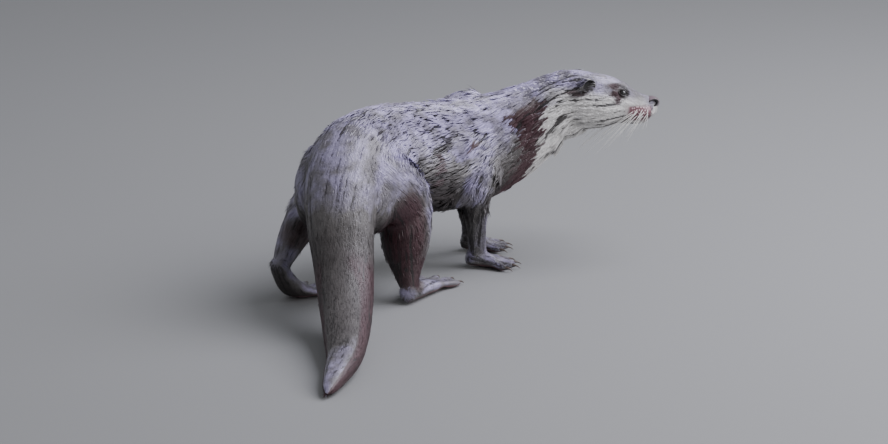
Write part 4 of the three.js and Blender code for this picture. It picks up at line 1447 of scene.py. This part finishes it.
def pad_surface(x, z, mirror):
    """A point on the whisker pad's lump at x and z, on one side."""
    ax, ay, az, along, across, high, _, coat = FACE_LUMPS[1]
    left = 1 - ((x - ax) / (along - coat)) ** 2 - ((z - az) / (high - coat)) ** 2
    y = ay + (across - coat) * np.sqrt(np.maximum(left, 0.02))
    return np.column_stack([x, y, z]) * mirror


def whisker_roots(mirror):
    """Rows of roots on the skin of one whisker pad, each row set off from the last by half a step: their x and z in
    the head's frame, and the skin's points and normals there."""
    rows = range(WHISKER_ROWS)
    at = np.array([[x + 2.0 * (r % 2), WHISKER_TOP - WHISKER_DROP * r] for r in rows for x in WHISKER_X])
    near = nearest(SKIN.tree, from_head(pad_surface(at[:, 0], at[:, 1], mirror)))
    return at, SKIN.points[near], SKIN.normals[near]


def whiskers():
    """Whiskers, one to every other root but the first row's: each leaves the pad outward and back, then hangs back
    and down: root + out * way + sag * out^2."""
    steps = np.linspace(0, 1, WHISKER_STEPS)[None, :, None]
    paths, radii = [], []
    for mirror in (LEFT, RIGHT):
        at, root, _ = whisker_roots(mirror)
        at, root = (rows[len(WHISKER_X)::2] for rows in (at, into_head(root)))
        back = (90 - at[:, 0]) / 28
        count = len(root)
        way = np.column_stack([-0.3 - 0.75 * back, (0.55 - 0.25 * back) * mirror[1], -0.75 + 0.05 * back])
        way = unit(way + RNG.normal(0, 0.1, (count, 3)))
        length = (20 + 42 * back**1.3) * RNG.uniform(0.75, 1.15, count)
        sag = np.column_stack([-0.25 * back, -0.25 * mirror[1] + 0 * back, -0.28 - 0.1 * back]) * length[:, None]
        path = root[:, None] + way[:, None] * length[:, None, None] * steps + sag[:, None] * steps**2
        paths.append(path)
        radii.append(WHISKER_RADIUS * (1 - 0.75 * steps[..., 0]) * np.ones((count, 1)))
    return mesh_from("whiskers", *tubes(from_head(np.concatenate(paths)), np.concatenate(radii), 5))


def follicles():
    """A low pale dome at each whisker root: rings that are cos(a) out of the skin and sin(a) across."""
    rings, sides = 4, 8
    a = np.linspace(1.5, 0.3, rings)[None, :, None, None]
    b = circle(sides)[None, None, :, None]
    parts = []
    for mirror in (LEFT, RIGHT):
        _, root, out = whisker_roots(mirror)
        side = unit(np.cross([0, 0, 1.0], out))
        over = np.cross(out, side)
        root, out, side, over = (v[:, None, None] for v in (root, out, side, over))
        dome = FOLLICLE_WIDE * np.sin(a) * (np.cos(b) * side + np.sin(b) * over) + FOLLICLE_HIGH * np.cos(a) * out
        tips = (root + FOLLICLE_HIGH * out)[:, 0, 0]
        parts.append((tube_points(root + dome, tips), tube_faces(rings, sides, len(tips))))
    return mesh_from("follicles", *gathered(parts))


PALE_HAIR = glossy("whisker", (0.9, 0.89, 0.86), 0.35, 0.2)[0]
add_piece("whiskers", facing_out(whiskers()), PALE_HAIR, "fur")
PALE_DOT = glossy("pale_follicle", (0.62, 0.45, 0.48), 0.4, 0.3)[0]
add_piece("follicles", facing_out(follicles()), PALE_DOT, "nose")


# ---- Floor, light and camera ----
def floor():
    """A wide plain pale floor."""
    reach, height = 12000.0, -0.3
    corners = np.array([[x * reach, y * reach, height] for x, y in ((-1, -1), (1, -1), (1, 1), (-1, 1))])
    ground = placed("floor", mesh_from("floor", corners, [np.arange(4)[None]]))
    finish = {"Base Color": (0.27, 0.275, 0.275, 1), "Roughness": 0.7}
    ground.data.materials.append(new_material("pale_floor", **finish)[0])


def soft_light(name, place, aim, size, power, colour):
    """A square soft light at a place, facing a point, both in mm."""
    light = bpy.data.lights.new(name, "AREA")
    light.shape = "SQUARE"
    light.size = size
    light.energy = power
    light.color = colour
    lamp = placed(name, light)
    lamp.location = Vector(to_metres(np.array(place, float)))
    lamp.rotation_euler = (Vector(aim) - Vector(place)).to_track_quat("-Z", "Y").to_euler()


def studio():
    """The pale world, a broad cool light overhead and a weak one beside the camera."""
    world = bpy.data.worlds.new("pale_room")
    world.use_nodes = True
    world.node_tree.nodes["Background"].inputs["Color"].default_value = (0.82, 0.83, 0.88, 1)
    world.node_tree.nodes["Background"].inputs["Strength"].default_value = 0.44
    bpy.context.scene.world = world
    middle = (-60, -60, 100)
    soft_light("sky", (650, -1400, 1900), middle, 2.2, 96, (0.91, 0.9, 1.0))
    soft_light("front", (-1300, -2400, 1100), middle, 1.6, 20, (1.0, 0.98, 0.95))


AIM = np.array([22.4, -61.5, 65.0])  # what the camera points at
CAMERA_AZIMUTH = -70.0
CAMERA_ELEVATION = 15.0
CAMERA_DISTANCE = 5000.0
LENS = 150.0


def camera():
    """The camera, looking along its azimuth from +Y and down by its elevation."""
    lens = bpy.data.cameras.new("camera")
    lens.lens = LENS
    lens.sensor_width = 36.0
    eye = placed("camera", lens)
    azimuth, tilt = np.radians([CAMERA_AZIMUTH, CAMERA_ELEVATION])
    ahead = np.array([-np.sin(azimuth) * np.cos(tilt), np.cos(azimuth) * np.cos(tilt), -np.sin(tilt)])
    eye.location = Vector(to_metres(AIM - ahead * CAMERA_DISTANCE))
    eye.rotation_euler = Vector(ahead).to_track_quat("-Z", "Y").to_euler()
    bpy.context.scene.camera = eye


floor()
studio()
camera()

bpy.context.view_layer.update()
